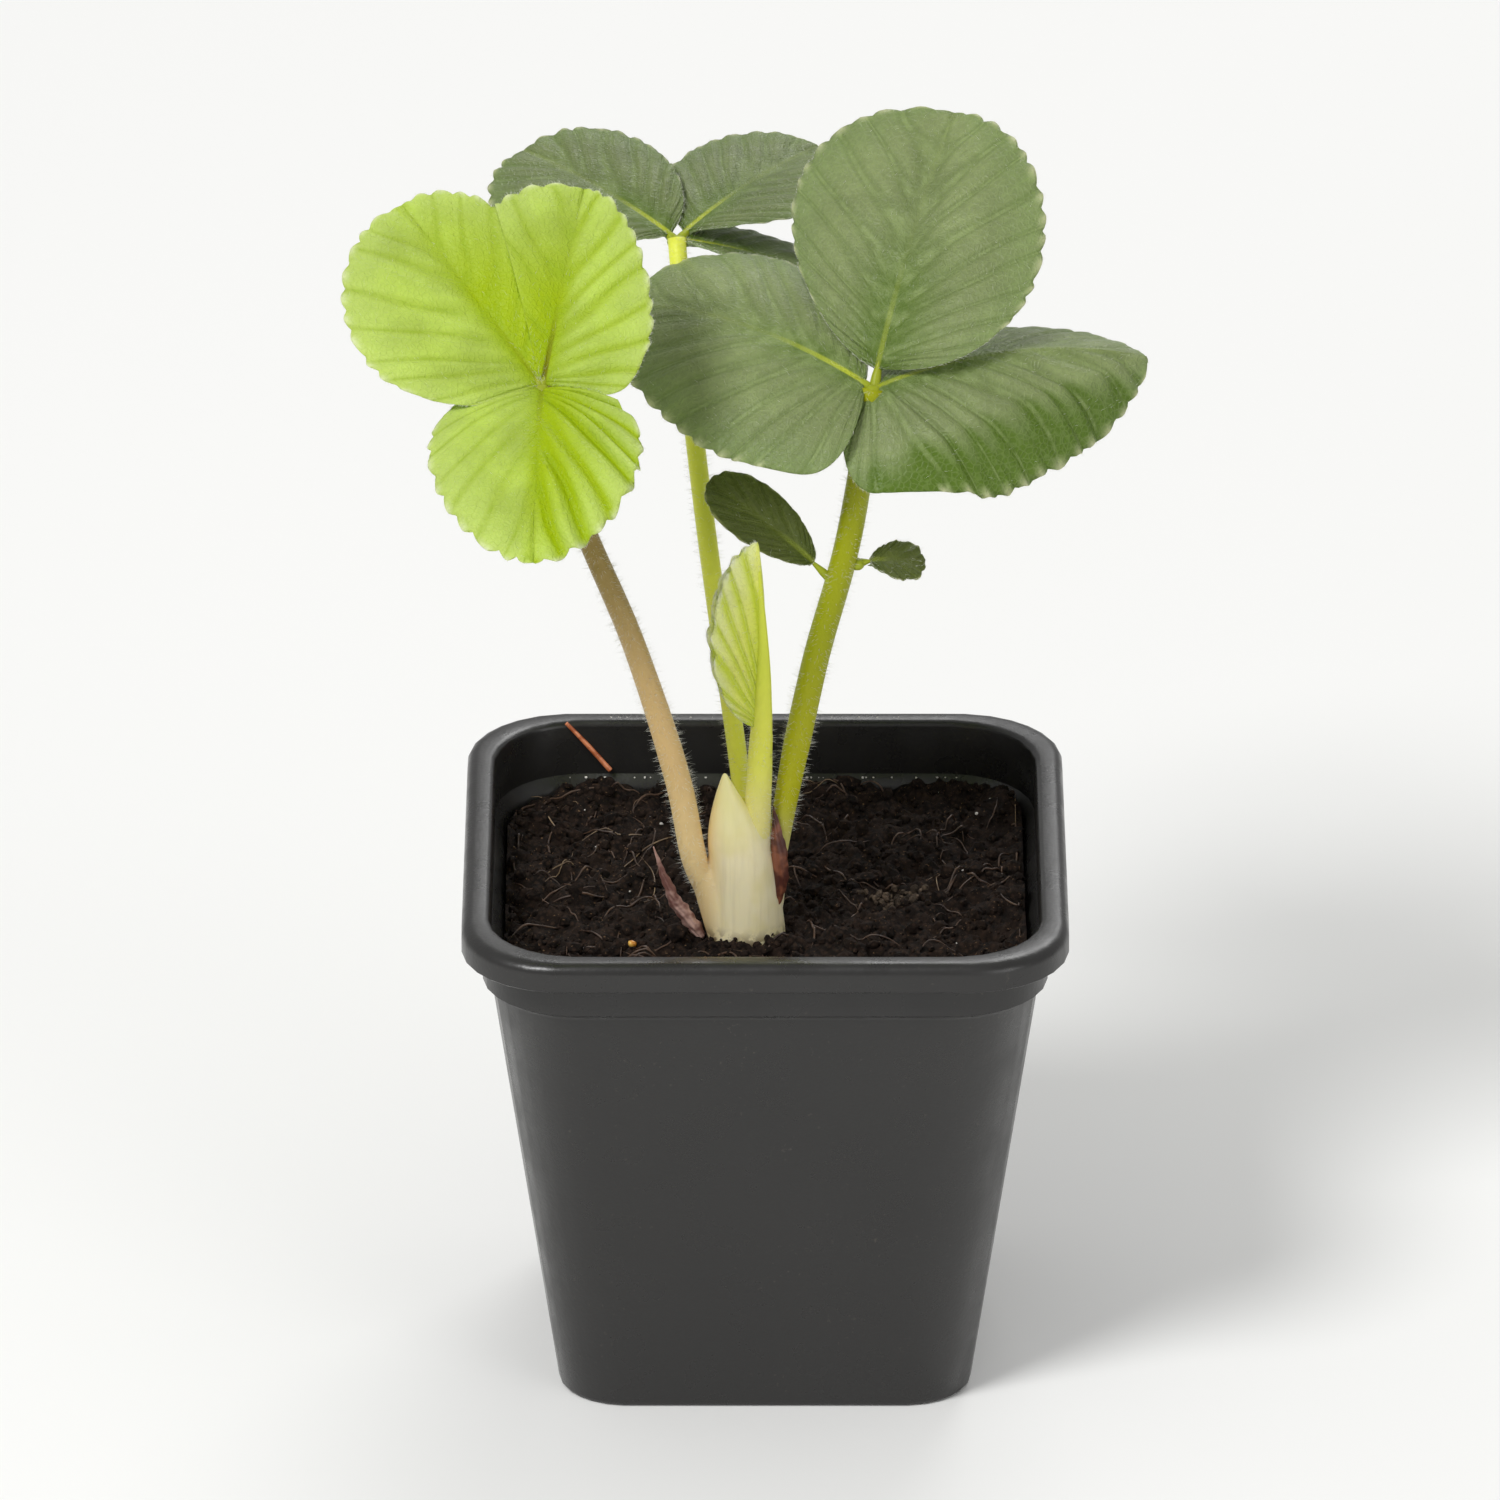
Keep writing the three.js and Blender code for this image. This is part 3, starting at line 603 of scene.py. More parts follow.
def pot_profile(rim_round):
    """Half width and height, from the underside's middle round the outside to the floor within."""
    return [
        (MIDDLE_HALF, 0),
        *((BASE_HALF - FOOT_ROUND * s, FOOT_ROUND * c) for c, s in quarter_turn(4)),
        (INNER_LEDGE + WALL, LEDGE_TOP - LEDGE_WIDTH - WALL / 2),
        (INNER_LEDGE + WALL + 0.3, LEDGE_TOP - LEDGE_WIDTH + 0.1),
        (INNER_TOP + WALL, LEDGE_TOP - WALL / 2),
        (INNER_TOP + WALL, POT_HEIGHT - rim_round - 0.4),
        (INNER_TOP + WALL + 0.4, POT_HEIGHT - rim_round),
        (RIM_HALF - WALL, POT_HEIGHT - rim_round),
        (RIM_HALF - WALL, POT_HEIGHT - SKIRT_DROP + 0.2),
        (RIM_HALF - WALL + 0.25, POT_HEIGHT - SKIRT_DROP),
        (RIM_HALF - 0.25, POT_HEIGHT - SKIRT_DROP),
        (RIM_HALF, POT_HEIGHT - SKIRT_DROP + 0.25),
        *((RIM_HALF - rim_round * c, POT_HEIGHT - rim_round * s) for c, s in quarter_turn(8)),
        (INNER_TOP + 0.9, POT_HEIGHT),
        (INNER_TOP + 0.45, POT_HEIGHT - 0.12),
        (INNER_TOP + 0.12, POT_HEIGHT - 0.45),
        (INNER_TOP, POT_HEIGHT - 0.9),
        (INNER_TOP, LEDGE_TOP + 0.3),
        (INNER_TOP - 0.3, LEDGE_TOP),
        (INNER_LEDGE + 0.3, LEDGE_TOP - LEDGE_WIDTH + 0.3),
        (INNER_LEDGE, LEDGE_TOP - LEDGE_WIDTH - 0.4),
        (BASE_HALF - WALL, FLOOR + 0.6),
        (BASE_HALF - WALL - 0.6, FLOOR),
        (MIDDLE_HALF, FLOOR),
    ]


def drain_cutter():
    """Pins and bars that cut the drain holes and the grooves of the underside."""
    cutter = bmesh.new()
    corner = (CORNER_DRAIN_REACH, CORNER_DRAIN_REACH, 0)
    length = SIDE_DRAIN_REACH - GROOVE_START
    for side in range(4):
        turn = Matrix.Rotation(side * math.pi / 2, 4, "Z")
        for radius, reach in ((CORNER_DRAIN, corner), (SIDE_DRAIN, (SIDE_DRAIN_REACH, 0, 0))):
            centre = turn @ Matrix.Translation(Vector(reach) * MM)
            size = {"radius1": radius * MM, "radius2": radius * MM, "depth": DRAIN_PIN * MM}
            bmesh.ops.create_cone(cutter, segments=40, cap_ends=True, matrix=centre, **size)
        middle = turn @ Matrix.Translation(Vector((GROOVE_START + length / 2, 0, 0)) * MM)
        size = Matrix.Diagonal((length * MM, GROOVE_WIDTH * MM, 2 * GROOVE_DEPTH * MM, 1))
        bmesh.ops.create_cube(cutter, size=1, matrix=middle @ size)
    return cutter


class STRAWBERRY_OT_pot(bpy.types.Operator):
    """Build the square plastic pot with its rolled rim, stacking ledge and drain holes"""

    bl_idname = "strawberry.pot"
    bl_label = "Pot"

    def execute(self, context):
        settings = context.scene.strawberry_pot
        profile = np.array(pot_profile(settings.rim_round / MM))
        rows = len(profile) - 1

        def place(turn, length):
            row = np.rint(length * rows).astype(int)
            x, y = square_ring(even_turns(turn), profile[row, 0])
            return np.stack([x, y, profile[row, 1]], axis=1)

        body = wrapped(POT_COLUMNS, rows, place)
        pot = keep("pot_shell", body, plastic_material(settings.plastic), "pot")
        cutter = placed("cutter", mesh_of(drain_cutter()))
        cut = pot.modifiers.new("drains", "BOOLEAN")
        cut.object = cutter
        cut.solver = "EXACT"
        cut.use_self = True
        shell = shaped(pot)
        discard(cutter)
        bmesh.ops.dissolve_degenerate(shell, dist=WELD / 2, edges=shell.edges)
        shell.to_mesh(pot.data)
        shell.free()
        pot.data.set_sharp_from_angle(angle=SHARP)
        return {"FINISHED"}


# Compost

SOIL_LEVEL = LEDGE_TOP - 0.6
SOIL_HALF = INNER_LEDGE - 0.5
SOIL_FACES = 150  # along each side of its top
CROWN_AT = (-3, -15)
CROWN_CLEAR = 5.6  # loose pieces lie no nearer than this to the crown's middle
# Waves of the surface: height, turn for each mm along X and along Y, and start.
SWELLS = (
    (0.5, 0.21, 0.16, 1.1),
    (0.4, -0.17, 0.24, 0.7),
    (0.45, 0.47, -0.36, 2),
    (0.3, 0.83, 0.71, 0.3),
)
CRUMB_KINDS = 5
CROWN_CRUMBS = 150
GRAINS = 32
# Pale grains on the back ledge and rim stand for perlite specks and, in part, for painted glints of
# water drops there.
POT_GRAINS = 60  # on the ledge and rim at the back
STRAW = ((-23.5, 39.6, 72.4), (-26.8, 40.1, 76.2), (-30.2, 40.5, 79.9))
CLUMP_LUMPS = 70
CLUMP_AT = (20.5, -1.5)
FLAKE_AT = (-19.8, -19.7)


def soil_height(x, y):
    """Height of the compost's surface in mm."""
    swell = sum(high * math.sin(ax * x + ay * y + start) for high, ax, ay, start in SWELLS)
    away = (x - CROWN_AT[0]) ** 2 + (y - CROWN_AT[1]) ** 2
    spot = Vector((x, y, 0))
    rough = 1.5 * noise.fractal(spot * 0.24, 0.8, 2.1, 5)
    rough += 0.9 * (noise.turbulence(spot * 0.55, 3, True) - 0.6)
    lean = 0.7 * x / SOIL_HALF
    return SOIL_LEVEL + swell + lean + 1.2 * math.exp(-away / 256) + rough


def on_soil(x, y, lift):
    """A place that lies lift mm over the compost's surface."""
    return x, y, soil_height(x, y) + lift


def soil_spot(draw):
    """A random place on the compost, clear of the crown."""
    corner = corner_at(SOIL_HALF)
    straight = SOIL_HALF - corner
    while True:
        x, y = draw.uniform(-SOIL_HALF, SOIL_HALF), draw.uniform(-SOIL_HALF, SOIL_HALF)
        over = math.hypot(max(0, abs(x) - straight), max(0, abs(y) - straight))
        if over < corner - 0.6 and math.hypot(x - CROWN_AT[0], y - CROWN_AT[1]) > CROWN_CLEAR:
            return x, y


def turn_of(x, y):
    """The share of a turn at which a place lies round the middle."""
    return np.arctan2(y, x) / (2 * math.pi)


def soil_body():
    """The compost's lumpy top, and its sides and underside down to the pot's floor."""
    body = bmesh.new()
    bmesh.ops.create_grid(body, x_segments=SOIL_FACES, y_segments=SOIL_FACES, size=1)
    grid = spots(body)
    reach = np.abs(grid[:, :2]).max(axis=1)
    x, y = square_ring(turn_of(grid[:, 0], grid[:, 1]), SOIL_HALF) * reach
    move_points(body, [Vector(on_soil(a, b, 0)) * MM for a, b in zip(x, y)])
    rim = [edge for edge in body.edges if edge.is_boundary]
    for height, half in ((SOIL_LEVEL - 4, None), (FLOOR + 0.5, BASE_HALF - WALL - 0.9)):
        fresh = bmesh.ops.extrude_edge_only(body, edges=rim)["geom"]
        rim = [part for part in fresh if isinstance(part, bmesh.types.BMEdge)]
        for point in {point for edge in rim for point in edge.verts}:
            x, y = point.co.xy
            if half:
                x, y = square_ring(turn_of(x, y), half) * MM
            point.co = (x, y, height * MM)
    bmesh.ops.holes_fill(body, edges=rim, sides=0)
    bmesh.ops.recalc_face_normals(body, faces=body.faces)
    return body


def crumb_bed(draw, count):
    """Loose crumbs and clods lying on the compost, and more of them round the crown's foot."""
    kinds = [[] for _ in range(CRUMB_KINDS)]

    def lay(x, y, size, lift):
        kind = draw.randrange(CRUMB_KINDS)
        kinds[kind].append(lump_matrix(draw, on_soil(x, y, size * lift), size))

    for _ in range(count):
        x, y = soil_spot(draw)
        lay(x, y, min(3.6, 0.35 + draw.expovariate(1 / 0.62)), 0.12)
    for _ in range(CROWN_CRUMBS):
        around, away, size = draw.uniform(0, 6.3), draw.uniform(4.6, 7), draw.uniform(0.5, 1.7)
        x = CROWN_AT[0] + 0.5 + away * math.cos(around)
        lay(x, CROWN_AT[1] + 0.95 * away * math.sin(around), size, 0.2)
    return scattered(*((crumb_pattern(seed), kind) for seed, kind in enumerate(kinds)))


def soil_fibre(draw, longest, radius):
    """A thin bent fibre that lies on the compost, partly sunk in it."""
    x, y = soil_spot(draw)
    heading, bend = draw.uniform(0, 6.3), draw.gauss(0, 0.22)
    parts, limit = 6, SOIL_HALF - 1
    step = draw.uniform(0.35, 1) * longest / parts
    points = []
    for part in range(parts + 1):
        x, y = max(-limit, min(limit, x)), max(-limit, min(limit, y))
        lift = math.sin(math.pi * part / parts) * draw.uniform(0.2, 1.3)
        points.append((x, y, soil_height(x, y) - 0.15 + lift))
        heading += bend
        x, y = x + step * math.cos(heading), y + step * math.sin(heading)
    return tube(points, (radius * 0.6, radius, radius * 0.3), sides=5, rows=14)


class STRAWBERRY_OT_compost(bpy.types.Operator):
    """Fill the pot with crumbly dark compost, its clods, fibres, roots and white grains"""

    bl_idname = "strawberry.compost"
    bl_label = "Compost"

    def execute(self, context):
        settings = context.scene.strawberry_pot
        earth = compost_material("compost", settings.compost)
        keep("compost_body", soil_body(), earth, "compost")
        draw = random.Random(11)
        keep("compost_crumbs", crumb_bed(draw, settings.clods), earth, flat=True)
        brown = fibre_material("brown_fibre", srgb(48, 31, 21), srgb(84, 60, 42))
        pale = fibre_material("pale_root", srgb(92, 72, 52), srgb(142, 118, 86), 0.4)
        for name, count, longest, thin, thick, skin in (
            ("peat_fibres", settings.fibres, 12, 0.09, 0.22, brown),
            ("fine_roots", settings.fibres // 8, 18, 0.06, 0.13, pale),
        ):
            strands = [soil_fibre(draw, longest, draw.uniform(thin, thick)) for _ in range(count)]
            keep(name, join_all(strands), skin)
        grains = []
        for _ in range(GRAINS):
            x, y = soil_spot(draw)
            grains.append(lump_matrix(draw, on_soil(x, y, 0.2), draw.uniform(0.2, 0.6)))
        # pale grains on the back ledge and rim: perlite specks, and in part painted glints of water
        # drops
        for _ in range(POT_GRAINS):
            x, y = draw.uniform(-30, 30), draw.choice((INNER_TOP - 0.6, INNER_TOP + 1.6))
            z = LEDGE_TOP if y < INNER_TOP else POT_HEIGHT
            grains.append(lump_matrix(draw, (x, y, z - 0.1), draw.uniform(0.15, 0.5)))
        bed = scattered((crumb_pattern(3), grains))
        keep("white_grains", bed, grain_material(), flat=True)
        copper = fibre_material("copper_straw", srgb(168, 84, 44), srgb(226, 140, 96), 0.25)
        keep("copper_straw", tube(STRAW, (0.42, 0.4, 0.3), sides=8), copper)
        lumps = []
        for _ in range(CLUMP_LUMPS):
            x, y = draw.gauss(CLUMP_AT[0], 2.6), draw.gauss(CLUMP_AT[1], 1.7)
            lumps.append(lump_matrix(draw, on_soil(x, y, 0.25), draw.uniform(0.6, 1.9)))
        clump = scattered((crumb_pattern(7), lumps))
        peat = compost_material("pale_peat", srgb(80, 68, 57))
        keep("pale_clump", clump, peat, flat=True)
        flake = scattered((crumb_pattern(2), [lump_matrix(draw, on_soil(*FLAKE_AT, 0.5), 1.3)]))
        golden = fibre_material("golden_flake", srgb(196, 128, 40), srgb(244, 196, 96), 0.25)
        keep("golden_flake", flake, golden)
        return {"FINISHED"}


# Crown and sheaths

# Each ring is its height, the X and Y of its middle, and half its width along X and Y.
CROWN_RINGS = (
    (56, -2.9, -14.6, 3.6, 3.4),
    (62, -2.8, -14.8, 5.0, 4.8),
    (70, -2.5, -15.0, 5.5, 5.2),
    (76, -2.7, -15.2, 5.2, 5.0),
    (81, -3.2, -15.4, 4.9, 4.7),
    (85, -3.8, -15.7, 4.7, 4.2),
    (88.5, -4.4, -16.1, 4.1, 3.5),
    (92, -5.1, -16.6, 2.9, 2.4),
    (95.5, -5.7, -16.9, 1.5, 1.3),
    (98.4, -6.0, -17.1, 0.35, 0.35),
)
# Where each stalk grows out of the crown: points along its foot, and radii spread over them.
STALK_FEET = (
    (((-4.4, -15.4, 68), (-7.2, -16, 75.4), (-10.2, -16.6, 83.5)), (3.2, 2.7, 2.1, 1.6)),
    (((-1.8, -15.8, 77), (-1.3, -15.9, 86), (-0.9, -16, 94)), (2.6, 2.2, 1.5)),
    (((0.4, -14.4, 76), (1.2, -14.1, 81), (1.9, -13.9, 86)), (2.4, 2.0, 1.5)),
    (((-2.2, -13.2, 76), (-2.7, -12, 84), (-3.3, -10.8, 90)), (2.4, 1.9, 1.0)),
)
DRY_SHEATH = (
    (1.0, -17.2, 75.5), (2.0, -17.4, 79.5), (2.1, -17.2, 84), (1.7, -16.6, 88.5),
    (1.2, -15.9, 92.5),
)
PINK_SCALE = (
    (-9.4, -15.9, 70.5), (-11.2, -16.5, 73.6), (-13.3, -17, 77), (-15, -17.3, 81.4),
    (-16.6, -17.5, 86.5),
)
SCALE_THICKNESS = 0.28
SKIN_VOXEL = 0.24
SKIN_ROUNDS = 9


def ringed(rings):
    """A closed upright form through oval rings."""
    columns, rows = 72, 90
    levels = smooth_path([ring[:3] for ring in rings], rows + 1)
    widths = smooth_path([(ring[0], ring[3], ring[4]) for ring in rings], 400)
    along_x, along_y = (
        np.interp(levels[:, 0], widths[:, 0], widths[:, axis]) for axis in (1, 2)
    )

    def place(turn, length):
        row = np.rint(length * rows).astype(int)
        angle = turn * 2 * math.pi
        height = levels[row, 0]
        swell = 1 + 0.012 * np.sin(3 * angle + height / 9) + 0.006 * np.sin(7 * angle - height / 5)
        x = levels[row, 1] + along_x[row] * np.cos(angle) * swell
        y = levels[row, 2] + along_y[row] * np.sin(angle) * swell
        return np.stack([x, y, height], axis=1)

    return wrapped(columns, rows, place)


def fused(body):
    """One smooth skin over overlapping bodies."""
    rough = placed("rough", mesh_of(body))
    skin = rough.modifiers.new("skin", "REMESH")
    skin.mode = "VOXEL"
    skin.voxel_size = SKIN_VOXEL * MM
    even = rough.modifiers.new("even", "SMOOTH")
    even.factor = 0.5
    even.iterations = SKIN_ROUNDS
    whole = shaped(rough)
    discard(rough)
    return whole


def scale_leaf(points, widest, curl, taper=1.0, ragged=0.0):
    """A pointed scale along a path: thin, widest low down, and curled across its width."""
    rows, columns = 48, 14
    path = smooth_path(points, rows + 1)
    _, side, front = path_frames(path)
    body = flat_grid(columns, rows, 1)
    grid = spots(body) + (0.5, 0.5, 0)
    length, across = grid[:, 1], 2 * grid[:, 0] - 1
    row = np.rint(length * rows).astype(int)
    width = widest * np.sin(math.pi * np.clip(0.12 + 0.88 * length**taper, 0, 1)) ** 1.1 + 0.08
    uneven = np.sin(17 * length + 2 * np.sign(across)) * np.sin(41 * length)
    width = width * (1 + ragged * uneven)
    lift = curl * across**2 * width + grid[:, 2] * SCALE_THICKNESS * (1 - 0.7 * across**2)
    lift = lift + 0.08 * np.sin(9 * across + 14 * length)
    places = path[row] + side[row] * (across * width)[:, None] + front[row] * lift[:, None]
    move_points(body, places * MM)
    bmesh.ops.recalc_face_normals(body, faces=body.faces)
    return body


class STRAWBERRY_OT_crown(bpy.types.Operator):
    """Build the cream crown that the stalks grow from, the dry sheath and the pink scale"""

    bl_idname = "strawberry.crown"
    bl_label = "Crown and sheaths"

    def execute(self, context):
        flesh = crown_material(context.scene.strawberry_stalk.cream)
        feet = [tube(points, radii, 32, 40) for points, radii in STALK_FEET]
        crown = fused(join_all([ringed(CROWN_RINGS), *feet]))
        keep("crown_stem", crown, flesh, "crown")
        brown = fibre_material("dry_sheath", srgb(78, 38, 28), srgb(136, 82, 58), 0.4)
        sheath = scale_leaf(DRY_SHEATH, 1.25, -0.45, ragged=0.1)
        keep("dry_sheath_scale", sheath, brown, "dry_sheath")
        pink = fibre_material("pink_scale", srgb(128, 88, 80), srgb(216, 178, 164), 0.35)
        scale = scale_leaf(PINK_SCALE, 1.05, -0.6, taper=0.6, ragged=0.2)
        keep("pink_scale_leaf", scale, pink, "pink_scale")
        return {"FINISHED"}


# Stalks

LEFT_KNOT = (-32.6, -28, 165.7)
RIGHT_KNOT = (15.8, -8, 156.8)
BACK_KNOT = (-13.2, 28, 165.3)
NEW_KNOT = (-0.1, -16, 105.2)
# Each path runs from a stalk's foot to its leaf, with radii spread evenly over its length.
LEFT_STALK = (
    (-4.6, -15.4, 69), (-7.7, -16, 76.5), (-10.2, -16.6, 83), (-12.8, -17.6, 97),
    (-19.2, -19.6, 120), (-27.3, -23, 143), LEFT_KNOT,
)
LEFT_RADII = (1.2, 1.95, 1.95, 1.75, 1.65, 1.55, 1.45)
RIGHT_STALK = ((1.6, -14, 83), (3, -13.6, 92), (7.1, -12, 113), (12.4, -10.2, 134), RIGHT_KNOT)
RIGHT_RADII = (1.5, 2.0, 1.95, 1.9, 1.7)
BACK_STALK = ((-2.6, -12.2, 83), (-4, -9.4, 97), (-7.2, -1, 118), (-10.7, 12, 142), BACK_KNOT)
BACK_RADII = (1.4, 1.45, 1.35)
NEW_STALK = ((-1.6, -15.8, 80), (-1.1, -16, 92), (-0.6, -16, 104), (-0.3, -16, 109))
NEW_RADII = (1.8, 2.0, 2.0, 1.95, 1.85, 1.7, 0.4)
NEW_MIDRIB = ((-0.7, -16, 101), (-0.45, -16.1, 109), (-0.35, -16.2, 118), (-0.9, -16.4, 131))
MIDRIB_RADII = (1.75, 1.55, 1.25, 0.85, 0.55, 0.25)
HAIR_STEPS = 400  # places along a stalk where a hair may stand
BARE_FOOT = 0.06  # share of a stalk's length that has no hairs


def hairs_on_stalk(points, radii, settings, seed, density):
    """Fine hairs that stand out all round a stalk."""
    draw = random.Random(seed)
    path = smooth_path(points, HAIR_STEPS + 1)
    way, side, front = path_frames(path)
    length = float(np.linalg.norm(np.diff(path, axis=0), axis=1).sum())
    count = int(length * 2 * math.pi * radii[-2] * settings.hair_density * density)
    longest = settings.hair_length / MM
    matrices = []
    for _ in range(count):
        row = draw.randrange(int(HAIR_STEPS * BARE_FOOT), HAIR_STEPS)
        angle = draw.uniform(0, 2 * math.pi)
        out = side[row] * math.cos(angle) + front[row] * math.sin(angle)
        radius = np.interp(row / HAIR_STEPS, np.linspace(0, 1, len(radii)), radii)
        lean = out + way[row] * draw.gauss(0.1, 0.28) + side[row] * draw.gauss(0, 0.14)
        reach, width = longest * draw.uniform(0.45, 1), draw.uniform(0.018, 0.032)
        matrices.append(hair_matrix(path[row] + out * radius * 0.97, lean, reach, width))
    return scattered((hair_pattern(), matrices))


class STRAWBERRY_OT_stalks(bpy.types.Operator):
    """Build the four leaf stalks with their fine hairs"""

    bl_idname = "strawberry.stalks"
    bl_label = "Stalks"

    def execute(self, context):
        settings = context.scene.strawberry_stalk
        tan, green, cream = tuple(settings.tan), tuple(settings.green), srgb(240, 230, 160)
        fresh, tip = srgb(234, 236, 92), srgb(216, 226, 72)
        skins = {
            "tan_stalk": (srgb(250, 222, 162), tan, srgb(124, 106, 42), 83, 104, 138),
            "green_stalk": (cream, green, srgb(146, 153, 2), 81, 94, 121),
            # Painted light: a lighter copy of the green stalk's colours, so that the back stalk
            # stays bright in the shade that the leaves cast on it.
            "back_stalk_painted_light": (cream, srgb(232, 236, 88), srgb(228, 234, 84), 84, 96, 160),
            "new_stalk": (srgb(240, 230, 150), fresh, tip, 90, 102, 118),
        }
        skins = {name: stalk_material(name, *looks) for name, looks in skins.items()}
        white = hair_material()
        midrib = tube(NEW_MIDRIB, MIDRIB_RADII, 24, 50)
        keep("new_leaf_midrib", midrib, skins["new_stalk"])
        plan = (
            ("left_leaf_stalk", LEFT_STALK, LEFT_RADII, "tan_stalk", "tan_stalk", 1.0),
            ("right_leaf_stalk", RIGHT_STALK, RIGHT_RADII, "green_stalk", "green_stalk", 0.75),
            ("back_leaf_stalk", BACK_STALK, BACK_RADII, "back_stalk_painted_light", "green_stalk", 0.75),
            ("new_leaf_stalk", NEW_STALK, NEW_RADII, "new_stalk", "green_stalk", 0.8),
        )
        for seed, (node, points, radii, skin, slot, density) in enumerate(plan):
            keep(node + "_skin", tube(points, radii, 24, 60, 0.02), skins[skin], node)
            hairs = hairs_on_stalk(points, radii, settings, seed, density)
            keep(node + "_hairs", hairs, white)
        return {"FINISHED"}


# Leaves

TOOTH_TIP = 0.62  # how far along a tooth its tip is
TOOTHED_FROM = 0.3  # share of the blade where the teeth begin
LOBED_TO = 0.36  # share of the blade where the heel's lobe ends
MEET_OVERLAP = 0.12
HALVINGS = 14
MARGIN_HAIRS = 52  # per tooth
OPEN_HUB = 1.4  # radius of an open leaf's hub
LEAFLET = {
    "roll": 0, "stalk": 1.4, "teeth": 9, "tooth": 0.07, "veins": 8, "meet": None, "fan": 3,
    "swell": 1.15, "heel": 0.6, "shown_rib": 1, "blunt_left": 1.3, "blunt_right": 1.3,
    "lobe_left": 0, "lobe_right": 0, "pleat_left": 0.32, "pleat_right": 0.32,
    "curl_left": 0, "curl_right": 0, "deep_left": 2.4, "deep_right": 2.4, "deep_to": 0.55,
    "valley_left": 0, "valley_right": 0,
}


def leaflet(heading, rise, droop, length, left, right, fold, cup, **others):
    """A leaflet's sizes in mm and angles in degrees. left and right are half widths.

    meet is the heading of the upright plane where it touches its neighbour. The fold shading
    keys give the width of the band of painted light and shade beside the midrib, how far it runs,
    and how strong that painted shading is in the valleys of the pleats.
    """
    return {
        **LEAFLET, "heading": heading, "rise": rise, "droop": droop, "length": length,
        "left": left, "right": right, "fold": fold, "cup": cup, **others,
    }


GROWN_TEETH = {"teeth": 13, "tooth": 0.042, "veins": 9}
RIGHT_LEAF = (
    leaflet(
        70, 50, 22, 43.5, 20, 19.5, 10, 30, blunt_left=1.45, blunt_right=1, stalk=3, deep_left=5,
        deep_right=6, shown_rib=0.35, **GROWN_TEETH,
    ),
    leaflet(
        156, 24, 44, 43.5, 20.5, 18, 5, 40, roll=-23, blunt_left=0.74, blunt_right=1.5, lobe_left=5,
        **GROWN_TEETH,
    ),
    leaflet(
        10, 21, 44, 43.6, 13.5, 17.6, -17, 20, roll=17, blunt_left=1.3, blunt_right=0.7,
        lobe_right=9.6, heel=0.3, curl_right=6, pleat_right=0.8, stalk=-0.5, shown_rib=0.6,
        **GROWN_TEETH,
    ),
)
LEFT_LEAF = (
    leaflet(
        -92, -5, 40, 33.4, 14.6, 15.4, 10, 30, blunt_left=0.9, blunt_right=0.9, pleat_left=1.7,
        pleat_right=0.12, deep_left=7.5, deep_right=1.5, deep_to=1.1, valley_left=1, fan=4.5,
        stalk=0.5, tooth=0.07, veins=7, shown_rib=0.35,
    ),
    leaflet(
        135, 37, 10, 35.2, 20, 12.4, 15, 20, roll=-20, blunt_left=1, blunt_right=1.1,
        lobe_left=0.5, meet=108, pleat_left=0.4, pleat_right=0.15, deep_left=2, deep_right=12,
        deep_to=0.95, stalk=0.5, teeth=11, tooth=0.05, veins=7, shown_rib=0.35,
    ),
    leaflet(
        76, 43, 10, 32.4, 15, 14, 15, 20, roll=10, blunt_left=1.1, blunt_right=0.7,
        lobe_right=1.5, meet=108, pleat_left=0.15, pleat_right=0.5, deep_left=10, deep_right=1.6,
        deep_to=0.85, valley_right=0.45, stalk=0.5, teeth=10, tooth=0.055, veins=7,
    ),
)
BACK_LEAF = (
    leaflet(54, 11, 15, 33.5, 13, 16, 15, 30, stalk=2.5, teeth=11, tooth=0.055, veins=9),
    leaflet(140, 18, 16, 29.5, 15, 13, 12, 30, roll=-10, teeth=11, tooth=0.055),
    leaflet(12, -14, 16, 28, 12, 9, 12, 30, blunt_right=1.5, teeth=10, tooth=0.055),
)
FOLDED = {
    "rise": 88, "droop": -8, "cup": 0, "teeth": 8, "veins": 6, "blunt_left": 0.85,
    "blunt_right": 0.85, "stalk": 0.2, "swell": 0.82, "pleat_left": 0.6, "pleat_right": 0.6,
    "valley_left": 1, "valley_right": 1, "deep_to": 0.8, "fan": 9,
}
NEW_LEAF = (
    leaflet(heading=20, length=30, left=8.3, right=8.3, fold=85, **FOLDED),
    leaflet(heading=0, length=28.6, left=8.1, right=8.1, fold=86, **FOLDED),
    leaflet(heading=-22, length=27, left=7.8, right=7.8, fold=86, **FOLDED),
)
EXTRA_LEFT_KNOT = (9.9, -11.2, 127.5)
EXTRA_RIGHT_KNOT = (13.5, -10.4, 130)
SMALL = {"pleat_left": 0.18, "pleat_right": 0.18, "deep_to": 0.3}
EXTRA_LEFT = leaflet(168, 40, 16, 19.5, 5, 4.6, 14, 10, roll=-40, teeth=5, stalk=3.6, **SMALL)
EXTRA_RIGHT = leaflet(0, 4, 24, 8, 3.2, 3.4, 8, 10, roll=30, teeth=3, tooth=0.16, stalk=2, **SMALL)


def leaflet_frame(leaf):
    """The ways that a leaflet points: along its midrib, up from its face, and to its right."""
    turn, slope, roll = (math.radians(leaf[key]) for key in ("heading", "rise", "roll"))
    east, north = math.cos(turn), math.sin(turn)
    flat, steep = math.cos(slope), math.sin(slope)
    way = np.array([east * flat, north * flat, steep])
    level = np.array([-east * steep, -north * steep, flat])
    up = level * math.cos(roll) + np.cross(way, level) * math.sin(roll)
    return way, up, np.cross(way, up)


def halves(leaf, size, v):
    """A size of the half blade that each point lies on."""
    return np.where(v < 0, leaf[size + "_left"], leaf[size + "_right"])


